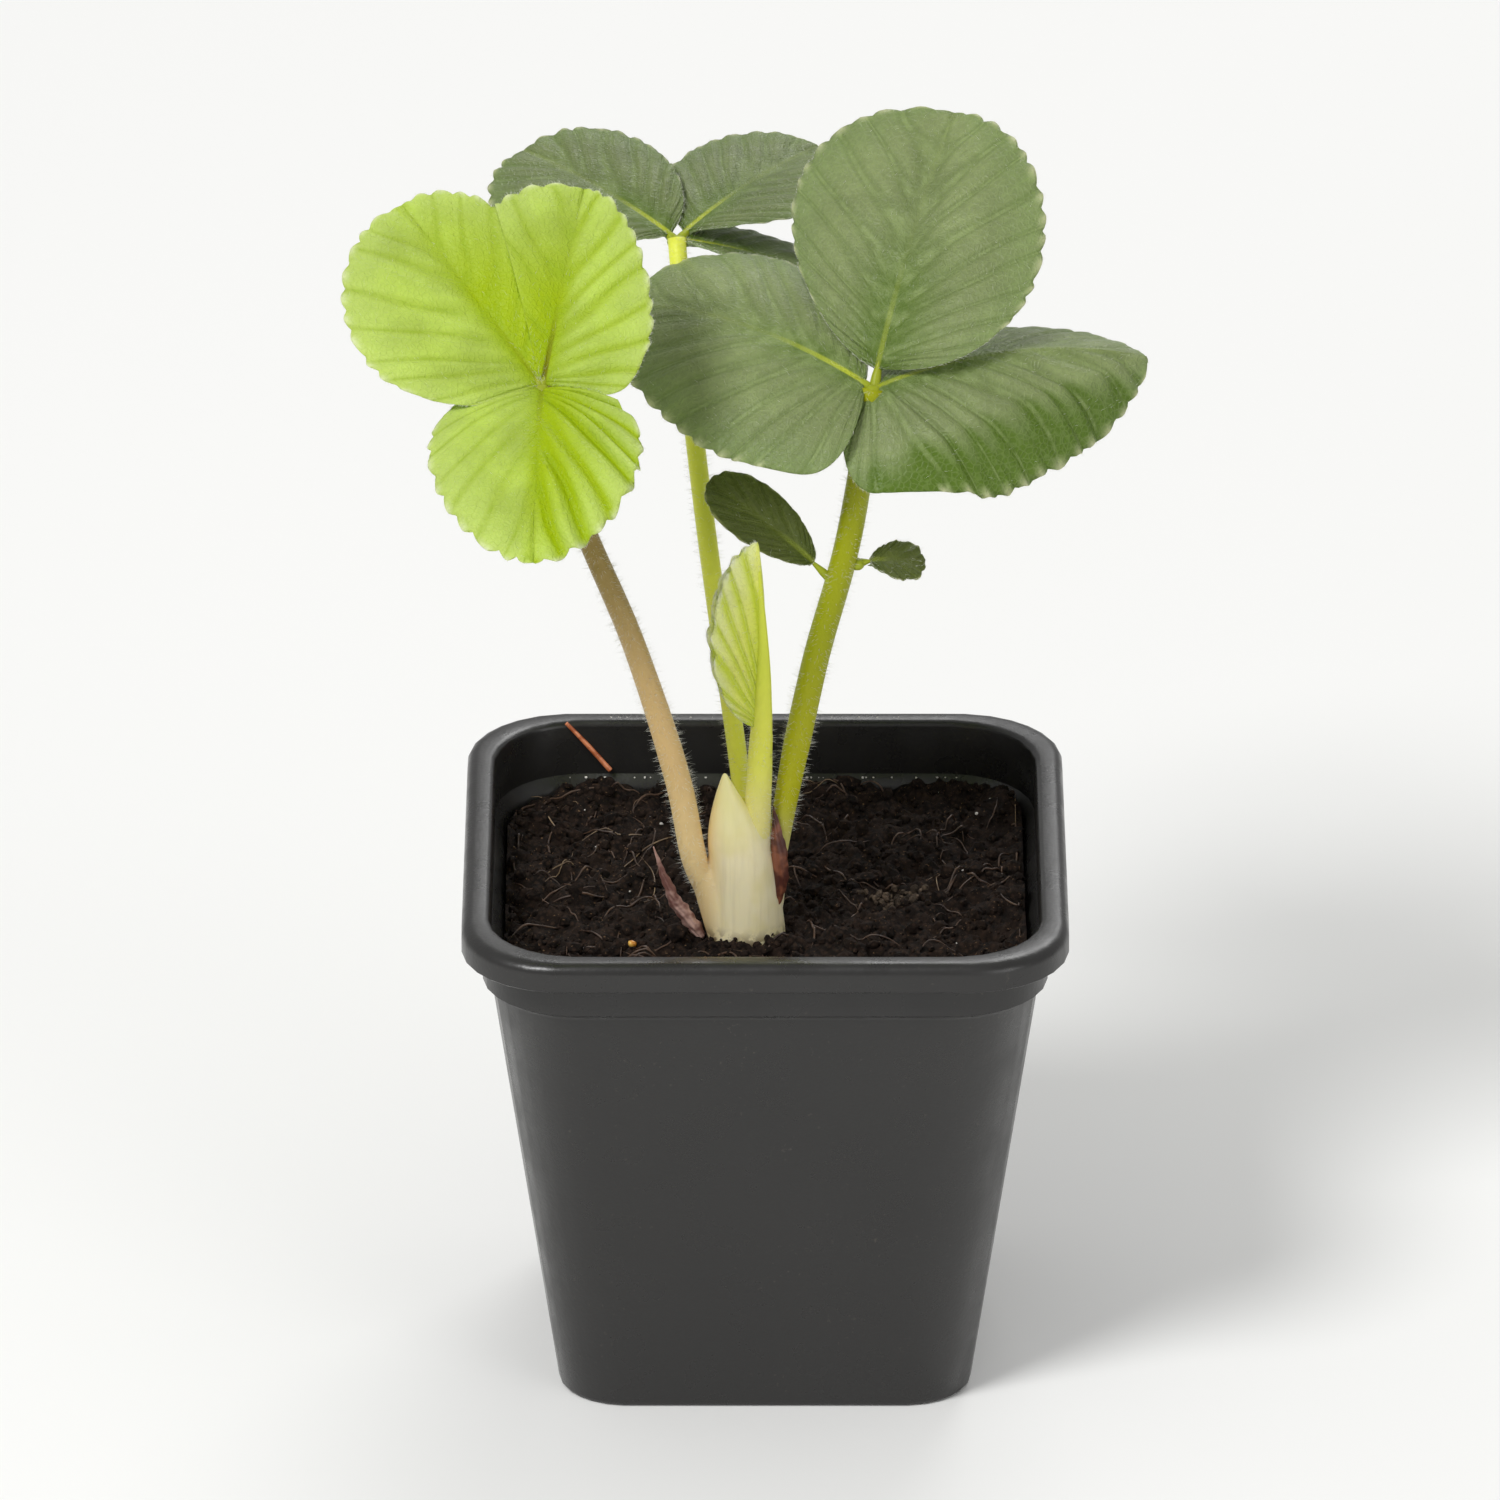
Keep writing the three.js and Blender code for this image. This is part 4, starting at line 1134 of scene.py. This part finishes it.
def leaf_outline(leaf, u, v):
    """How far across and onward a point of the flat blade lies in mm, and where among the teeth."""
    half = np.where(v < 0, leaf["left"], leaf["right"])
    w = np.abs(v)
    rib_at = leaf["length"] * u ** leaf["fan"]
    out = half * np.sin(math.pi * u ** halves(leaf, "blunt", v))
    on = leaf["length"] * ((1 - np.cos(math.pi * u)) / 2) ** leaf["swell"]
    sharp = np.where(u < LOBED_TO / 2, leaf["heel"], 2)
    heel = np.sin(math.pi * np.clip(u / LOBED_TO, 0, 1)) ** sharp
    on = on - halves(leaf, "lobe", v) * heel
    toothed = (u - TOOTHED_FROM) / (1 - TOOTHED_FROM)
    even, lead = leaf["teeth"] * toothed, leaf["heading"] + np.sign(v)
    share = even + TOOTH_TIP + 0.11 * np.sin(1.9 * even + lead)
    share = share + 0.06 * np.sin(3.1 * even + 2 * lead)
    part = share - np.floor(share)
    rising = np.sin(math.pi / 2 * np.minimum(part, TOOTH_TIP) / TOOTH_TIP) ** 0.8
    falling = (1 - (np.maximum(part, TOOTH_TIP) - TOOTH_TIP) / (1 - TOOTH_TIP)) ** 0.7
    tooth = np.where(part < TOOTH_TIP, rising, falling)
    near_tip = np.clip((u - 0.95) / 0.05, 0, 1)
    reach = (leaf["left"] + leaf["right"]) / 2 * leaf["tooth"] * np.clip(toothed * 6, 0, 1)
    reach = reach * (tooth + (0.7 - tooth) * near_tip)
    span = np.maximum(np.hypot(out, on - rib_at), 1e-6)
    over = out / span * (1 - 0.5 * near_tip)
    along = (on - rib_at) / span * (1 - near_tip) + 0.8 * near_tip
    out, on = out + over * reach, on + along * reach
    onward = rib_at + (on - rib_at) * (w**1.05 * (1 - near_tip) + near_tip)
    return out * w, onward, share, toothed, tooth


def vein_phase(leaf, share, w):
    """Whole numbers on the side veins, which are unevenly spaced and wander on their way out."""
    phase = (share - TOOTH_TIP) * leaf["veins"] / leaf["teeth"]
    phase = phase + 0.12 * np.sin(1.7 * phase + leaf["heading"])
    return phase + 0.1 * np.sin(math.pi * w) * np.sin(2.1 * phase + 4 * w + leaf["length"])


def leaf_middle(leaf, start, u, v):
    """Points of the blade's middle surface in mm."""
    way, up, right = leaflet_frame(leaf)
    across, onward, share, toothed, _ = leaf_outline(leaf, u, v)
    w = np.abs(v)
    angle = np.radians(leaf["fold"] - leaf["cup"] * across / (2 * max(leaf["left"], leaf["right"])))
    phase = vein_phase(leaf, share, w)
    uneven = 0.68 + 0.32 * np.sin(2.3 * phase + leaf["length"])
    pleats = np.cos(2 * math.pi * phase)
    ripple = -halves(leaf, "pleat", v) * uneven * w**0.8 * (1 - 0.5 * w) * pleats
    ripple = ripple * np.clip(1 + 4 * toothed, 0, 1) * np.clip(20 * (1 - u), 0, 1)
    lift = across * np.sin(angle) + ripple
    lift = lift - curled(leaf, u, v) * halves(leaf, "curl", v) * (1 + 0.03 * np.sin(13 * phase))
    bend = math.radians(leaf["droop"])
    turned = bend * onward / leaf["length"]
    ahead = leaf["length"] / bend * np.sin(turned) + lift * np.sin(turned)
    above = -leaf["length"] / bend * (1 - np.cos(turned)) + lift * np.cos(turned)
    beside = np.sign(v) * across * np.cos(angle)
    return start + ahead[:, None] * way + above[:, None] * up + beside[:, None] * right


def curled(leaf, u, v, first=0.22, inside=0.62):
    """How far a point is into the part of the margin that curls down, from 0 to 1."""
    along = np.clip((u - first) * 5, 0, 1) * np.clip((0.97 - u) * 5, 0, 1)
    reach = np.clip((np.abs(v) - inside) / (1 - inside), 0, 1)
    return np.where(halves(leaf, "curl", v) > 0, reach**1.4 * along, 0)


def leaf_start(leaf, knot):
    """Where the blade begins: the end of the leaflet's own stalk."""
    return np.array(knot, float) + leaflet_frame(leaf)[0] * leaf["stalk"]


def kept_share(leaf, knot, u, v):
    """The share of its half width that a blade keeps where it meets its neighbour."""
    if leaf["meet"] is None:
        return np.ones(len(u))
    turn = math.radians(leaf["meet"])
    way, _, right = leaflet_frame(leaf)
    square = np.array([-math.sin(turn), math.cos(turn), 0])
    square = square * np.sign(square @ way)
    inner = -np.sign(square @ right)
    start = leaf_start(leaf, knot)
    low, high = np.zeros(len(u)), np.ones(len(u))
    for _ in range(HALVINGS):
        half = (low + high) / 2
        away = (leaf_middle(leaf, start, u, inner * half) - np.array(knot)) @ square
        inside = away > -MEET_OVERLAP
        low, high = np.where(inside, half, low), np.where(inside, high, half)
    return np.where(v * inner > 0, np.where(high > 0.999, 1, low), 1)


def leaf_normal(leaf, start, u, v):
    """The way that the blade's upper face looks."""
    step = 1e-3
    u, v = np.clip(u, 0.01, 0.99), np.clip(v, -0.995, 0.995)
    onward = leaf_middle(leaf, start, u + step, v) - leaf_middle(leaf, start, u - step, v)
    outward = leaf_middle(leaf, start, u, v + step) - leaf_middle(leaf, start, u, v - step)
    return unit(np.cross(outward, onward), 1e-9)


def vein_relief(leaf, u, v, depth):
    """Height of the upper face over its even level in mm, with grooves on the veins."""
    across, _, share, _, _ = leaf_outline(leaf, u, v)
    w = np.abs(v)
    phase = vein_phase(leaf, share, w)
    pitch = leaf["length"] / leaf["veins"] * w
    apart = np.abs(phase - np.rint(phase)) * pitch
    strength = 0.7 + 0.3 * np.sin(2.7 * np.rint(phase) + leaf["heading"])
    side_groove = -depth * strength * np.exp(-((apart / 0.3) ** 2)) * np.clip(w * 6, 0, 1)
    twig = phase * 2 + 0.5 + 0.3 * np.sin(7 * w)
    twig_apart = np.abs(twig - np.rint(twig)) * pitch / 2
    twig_groove = -0.5 * depth * np.exp(-((twig_apart / 0.22) ** 2)) * np.clip((w - 0.35) * 4, 0, 1)
    mid_groove = -1.8 * depth * np.exp(-((across / 0.5) ** 2)) * (1 - u)
    return side_groove + twig_groove + mid_groove


def painted_fold_shading(leaf, u, v):
    """Painted light and shade, 0 to 1: by the midrib, in pleats and on a margin that curls down."""
    across, onward, share, _, _ = leaf_outline(leaf, u, v)
    w = np.abs(v)
    along = np.clip(2 * (1 - onward / (leaf["deep_to"] * leaf["length"])), 0, 1)
    band = along * np.exp(-((across / halves(leaf, "deep", v)) ** 2))
    groove = (0.5 + 0.5 * np.cos(2 * math.pi * vein_phase(leaf, share, w))) ** 2
    # painted shade in the valleys of the pleats
    valley = halves(leaf, "valley", v) * groove * np.clip(w * 4, 0, 1)
    # painted shade on the margin that curls down
    ragged = curled(leaf, u, v, 0.1, 0.45) ** 0.7 * (0.7 + 0.6 * groove)
    return np.clip(band + valley + np.clip(3.4 * (ragged - 0.22), 0, 1), 0, 1)


def leaflet_body(leaf, knot, settings, fine):
    """A leaflet's blade as a thin closed shell, with attributes for its material."""
    rows, columns = int(settings.rows * fine), 2 * int(settings.columns * fine / 2)
    thickness, depth = settings.thickness / MM, settings.vein_depth / MM
    body = flat_grid(columns, rows, 1)
    grid = spots(body)
    u, edge = np.rint((grid[:, 1] + 0.5) * rows) / rows, np.abs(2 * grid[:, 0])
    under = grid[:, 2] < -0.5
    v = 2 * grid[:, 0] * kept_share(leaf, knot, u, grid[:, 0])
    start = leaf_start(leaf, knot)
    middle, normal = leaf_middle(leaf, start, u, v), leaf_normal(leaf, start, u, v)
    across, onward, share, _, tooth = leaf_outline(leaf, u, v)
    half = thickness / 2 * (0.35 + 0.65 * (1 - edge**5)) * np.clip(u * 12, 0.3, 1)
    relief = vein_relief(leaf, u, v, depth)
    rib = 0.75 * (1 - u) * np.exp(-((across / 0.6) ** 2)) + 0.5 * np.maximum(0, -relief)
    offset = np.where(under, -half - rib + 0.6 * relief, half + relief)
    offset[(u == 0) | (u == 1)] = 0  # each end closes to a point
    values = {
        "across": across,
        "phase": vein_phase(leaf, share, np.abs(v)) + 0.5,
        "pitch": leaf["length"] / leaf["veins"] * np.abs(v),
        "reach": np.abs(v),
        "tip": np.clip((np.abs(v) - 0.95) * 20, 0, 1) * tooth**4 * (u > TOOTHED_FROM),
        "rib": np.clip(1.2 * (1 - onward / (0.4 * leaf["length"])), 0.06, 1) * leaf["shown_rib"],
        "deep": painted_fold_shading(leaf, u, v),
        "under": under.astype(float),
    }
    for name, numbers in values.items():
        layer = body.verts.layers.float.new(name)
        for point, number in zip(body.verts, numbers):
            point[layer] = number
    move_points(body, (middle + normal * offset[:, None]) * MM)
    bmesh.ops.remove_doubles(body, verts=body.verts, dist=WELD / 100)
    return body


def short_stalk(leaf, knot, radius):
    """The leaflet's own stalk, which runs on under the blade as its midrib."""
    start = leaf_start(leaf, knot)
    ahead = leaf_middle(leaf, start, np.array([0.3, 0.42]), np.array([0.0, 0.0]))
    lower = leaflet_frame(leaf)[1] * 0.35
    points = [np.array(knot, float) - lower * 2, start - lower, ahead[0] - lower, ahead[1] - lower]
    return tube(points, (radius, radius * 0.85, radius * 0.45, 0.1), sides=14, rows=24)


def jitter(draw, spread):
    """A small random step in any direction."""
    return np.array([draw.gauss(0, spread) for _ in range(3)])


def leaf_fringe(leaf, knot, draw, longest):
    """Fine hairs along a leaflet's margin."""
    start = leaf_start(leaf, knot)
    count = leaf["teeth"] * MARGIN_HAIRS
    u = np.array([draw.uniform(0.06, 0.995) for _ in range(count)])
    side = np.array([draw.choice((-1.0, 1.0)) for _ in range(count)])
    free = kept_share(leaf, knot, u, side) > 0.99
    edge, inside = (leaf_middle(leaf, start, u, side * w) for w in (1.0, 0.96))
    normal = leaf_normal(leaf, start, u, side)
    matrices = []
    for root, inner, face, shown in zip(edge, inside, normal, free):
        out = (root - inner) / max(np.linalg.norm(root - inner), 1e-6)
        lean = out + face * draw.gauss(0.1, 0.35) + jitter(draw, 0.25)
        hair = hair_matrix(root - out * 0.05, lean, longest * draw.uniform(0.2, 0.5), 0.018)
        if shown:
            matrices.append(hair)
    return matrices


def leaf_down(leaf, knot, draw, count, longest, width):
    """Silky hairs lying over both faces of a leaflet."""
    start = leaf_start(leaf, knot)
    u = np.array([draw.uniform(0.05, 0.97) for _ in range(count)])
    v = np.array([draw.uniform(-0.97, 0.97) for _ in range(count)])
    v = v * kept_share(leaf, knot, u, v)
    face = np.array([draw.choice((1.0, 1.0, -1.0)) for _ in range(count)])
    here, ahead = leaf_middle(leaf, start, u, v), leaf_middle(leaf, start, u + 0.02, v)
    normal = leaf_normal(leaf, start, u, v) * face[:, None]
    matrices = []
    for root, forward, up in zip(here, ahead, normal):
        way = (forward - root) / max(np.linalg.norm(forward - root), 1e-6)
        lean = way + up * draw.uniform(0.15, 0.8) + jitter(draw, 0.3)
        matrices.append(hair_matrix(root + up * 0.15, lean, longest * draw.uniform(0.4, 1), width))
    return matrices


def build_leaf(node, knot, leaflets, blade, hub_radius, slot, seed, fine=1.0, down=260):
    """The blades, short stalks, hub and hairs of one leaf."""
    settings, hairs = bpy.context.scene.strawberry_leaf, bpy.context.scene.strawberry_stalk
    draw = random.Random(seed)
    blades = [leaflet_body(leaf, knot, settings, fine) for leaf in leaflets]
    keep(node + "_blades", join_all(blades), blade, node)
    hub = bmesh.new()
    bmesh.ops.create_icosphere(hub, subdivisions=3, radius=hub_radius * MM)
    for point in hub.verts:
        point.co *= 1 + 0.12 * noise.noise(point.co / MM)
        point.co.z *= 0.8
    lower = Vector((0, 0, hub_radius * 0.45))
    bmesh.ops.translate(hub, verts=hub.verts, vec=(Vector(knot) - lower) * MM)
    stems = [short_stalk(leaf, knot, min(0.85, hub_radius * 0.62)) for leaf in leaflets]
    skin = bpy.data.materials.get("leaf_hub") or stalk_material(
        "leaf_hub", srgb(150, 162, 36), srgb(156, 166, 36), srgb(146, 160, 36), 100, 145, 190
    )
    keep(node + "_hub", join_all([hub, *stems]), skin)
    longest = hairs.hair_length / MM
    share, width = (1.0, 0.028) if slot == "new_leaf" else (0.7, 0.013)
    matrices = []
    for leaf in leaflets:
        matrices += leaf_fringe(leaf, knot, draw, longest)
        matrices += leaf_down(leaf, knot, draw, down, longest * share, width)
    white = bpy.data.materials.get("plant_hair") or hair_material()
    keep(node + "_hairs", scattered((hair_pattern(), matrices)), white)


class STRAWBERRY_OT_leaves(bpy.types.Operator):
    """Build the three open leaves with their veins, toothed margins and hairs"""

    bl_idname = "strawberry.leaves"
    bl_label = "Open leaves"

    def execute(self, context):
        settings = context.scene.strawberry_leaf
        young, mature = tuple(settings.young), tuple(settings.mature)
        bright = leaf_material(
            "young_leaf", young, fold=srgb(158, 182, 0), rib=srgb(116, 118, 6),
            vein=srgb(140, 168, 30), margin=srgb(188, 208, 116), under=srgb(182, 202, 116),
            tips=srgb(226, 234, 190), net=0.04, rough=0.38, shine=0.12, bloom=0.0,
        )
        grown = {
            "fold": srgb(78, 104, 16), "rib": srgb(176, 186, 54), "margin": srgb(112, 134, 76),
            "under": srgb(150, 166, 124), "tips": srgb(214, 216, 172),
            "net": 0.15, "rough": 0.42, "shine": 0.25,
        }
        dark = leaf_material("grown_leaf", mature, vein=srgb(150, 166, 108), bloom=0.06, **grown)
        # Painted shade: the back leaf gets a darker copy of the grown leaves' colours, for the
        # shade it lies in.
        painted_shade_colour = shade(mature, 0.76)
        painted_shade_leaf = leaf_material("back_leaf", painted_shade_colour, vein=srgb(134, 150, 96), bloom=0.04, **grown)
        build_leaf("right_leaf", RIGHT_KNOT, RIGHT_LEAF, dark, OPEN_HUB, "dark_leaf", 21, down=420)
        build_leaf("left_leaf", LEFT_KNOT, LEFT_LEAF, bright, OPEN_HUB, "young_leaf", 22)
        build_leaf("back_leaf", BACK_KNOT, BACK_LEAF, painted_shade_leaf, OPEN_HUB, "dark_leaf", 23)
        return {"FINISHED"}


class STRAWBERRY_OT_small_leaves(bpy.types.Operator):
    """Build the folded new leaf and the two small leaflets on the right stalk"""

    bl_idname = "strawberry.small_leaves"
    bl_label = "New leaf and small leaflets"

    def execute(self, context):
        fresh = leaf_material(
            "new_leaf", srgb(232, 238, 116), fold=srgb(196, 212, 30), rib=srgb(222, 230, 90),
            vein=srgb(220, 228, 150), margin=srgb(222, 230, 184), under=None,
            tips=srgb(240, 242, 222), net=0.04, rough=0.34, shine=0.25, bloom=0.06,
        )
        small = leaf_material(
            "small_leaf", srgb(82, 92, 34), fold=srgb(72, 86, 22), rib=srgb(124, 136, 40),
            vein=srgb(104, 114, 52), margin=srgb(88, 98, 42), under=srgb(130, 142, 92),
            tips=srgb(176, 178, 120), net=0.12, rough=0.4, shine=0.3, bloom=0.02,
        )
        build_leaf("new_leaf", NEW_KNOT, NEW_LEAF, fresh, 0.5, "new_leaf", 24, 0.7, 900)
        for node, knot, leaf in (
            ("extra_leaflet_left", EXTRA_LEFT_KNOT, EXTRA_LEFT),
            ("extra_leaflet_right", EXTRA_RIGHT_KNOT, EXTRA_RIGHT),
        ):
            build_leaf(node, knot, (leaf,), small, 1.15, "small_leaf", 25, 0.5, 60)
        return {"FINISHED"}


# Stage

FLOOR_HALF = 6  # metres
LIT_POINT = (0, 0, 0.1)
SKY_STRENGTH = 0.45
FARTHEST_SEEN = 20
# Each light's name, place in metres, width and power.
LIGHTS = (
    ("key", (-0.8, -0.9, 1.5), 0.6, 21),
    ("fill", (1.0, -1.1, 0.5), 0.9, 4),
    ("back", (0.3, 1.2, 1.1), 0.8, 7),
)


def aim(thing, place, way):
    """Stand a light or camera at a place so that it looks along a way."""
    thing.location = place
    thing.rotation_euler = way.to_track_quat("-Z", "Y").to_euler()


class STRAWBERRY_OT_stage(bpy.types.Operator):
    """Set the plain floor, the soft studio lights and the camera"""

    bl_idname = "strawberry.stage"
    bl_label = "Stage"

    def execute(self, context):
        settings, scene = context.scene.strawberry_stage, context.scene
        sheet = bmesh.new()
        bmesh.ops.create_grid(sheet, x_segments=1, y_segments=1, size=FLOOR_HALF)
        mesh = mesh_of(sheet, "floor")
        mesh.materials.append(Graph("pale_floor", Roughness=0.9).finish(tuple(settings.floor)))
        floor = placed("floor", mesh)
        scene.world = scene.world or bpy.data.worlds.new("studio")
        scene.world.use_nodes = True
        backdrop = scene.world.node_tree.nodes["Background"]
        backdrop.inputs["Color"].default_value = (1, 1, 1, 1)
        backdrop.inputs["Strength"].default_value = SKY_STRENGTH
        for name, place, width, power in LIGHTS:
            light = bpy.data.lights.new(name, "AREA")
            light.shape = "DISK"
            light.size = width
            light.energy = power
            aim(placed(name, light), place, Vector(LIT_POINT) - Vector(place))
        scene.view_settings.view_transform = "Standard"
        low, high = CAD_BOX
        height, near = math.sin(settings.elevation), -math.cos(settings.elevation)
        back = Vector((0, near, height)) * settings.distance
        camera = bpy.data.cameras.new("camera")
        camera.lens = camera.sensor_width * settings.distance / settings.frame_width
        camera.clip_end = FARTHEST_SEEN
        scene.camera = placed("camera", camera)
        aim(scene.camera, (Vector(low) + Vector(high)) / 2 + back, -back)
        return {"FINISHED"}


class STRAWBERRY_PT_panel(bpy.types.Panel):
    """Lists the steps that build the plant"""

    bl_idname = "STRAWBERRY_PT_panel"
    bl_label = "Potted strawberry plant"
    bl_space_type = "VIEW_3D"
    bl_region_type = "UI"
    bl_category = "Strawberry"

    def draw(self, context):
        for group in SETTINGS:
            for prop in group.__annotations__:
                self.layout.prop(getattr(context.scene, SETTINGS[group]), prop)
        for step in STEPS:
            self.layout.operator(step.bl_idname)


SETTINGS = {
    PotSettings: "strawberry_pot",
    LeafSettings: "strawberry_leaf",
    StalkSettings: "strawberry_stalk",
    StageSettings: "strawberry_stage",
}
STEPS = (
    STRAWBERRY_OT_pot,
    STRAWBERRY_OT_compost,
    STRAWBERRY_OT_crown,
    STRAWBERRY_OT_stalks,
    STRAWBERRY_OT_leaves,
    STRAWBERRY_OT_small_leaves,
    STRAWBERRY_OT_stage,
)


def register():
    for item in (*SETTINGS, *STEPS, STRAWBERRY_PT_panel):
        bpy.utils.register_class(item)
    for group, name in SETTINGS.items():
        setattr(bpy.types.Scene, name, PointerProperty(type=group))


def unregister():
    for name in SETTINGS.values():
        delattr(bpy.types.Scene, name)
    for item in reversed((*SETTINGS, *STEPS, STRAWBERRY_PT_panel)):
        bpy.utils.unregister_class(item)


def main():
    register()
    bpy.ops.strawberry.pot()
    bpy.ops.strawberry.compost()
    bpy.ops.strawberry.crown()
    bpy.ops.strawberry.stalks()
    bpy.ops.strawberry.leaves()
    bpy.ops.strawberry.small_leaves()
    bpy.ops.strawberry.stage()


if __name__ == "__main__":
    main()
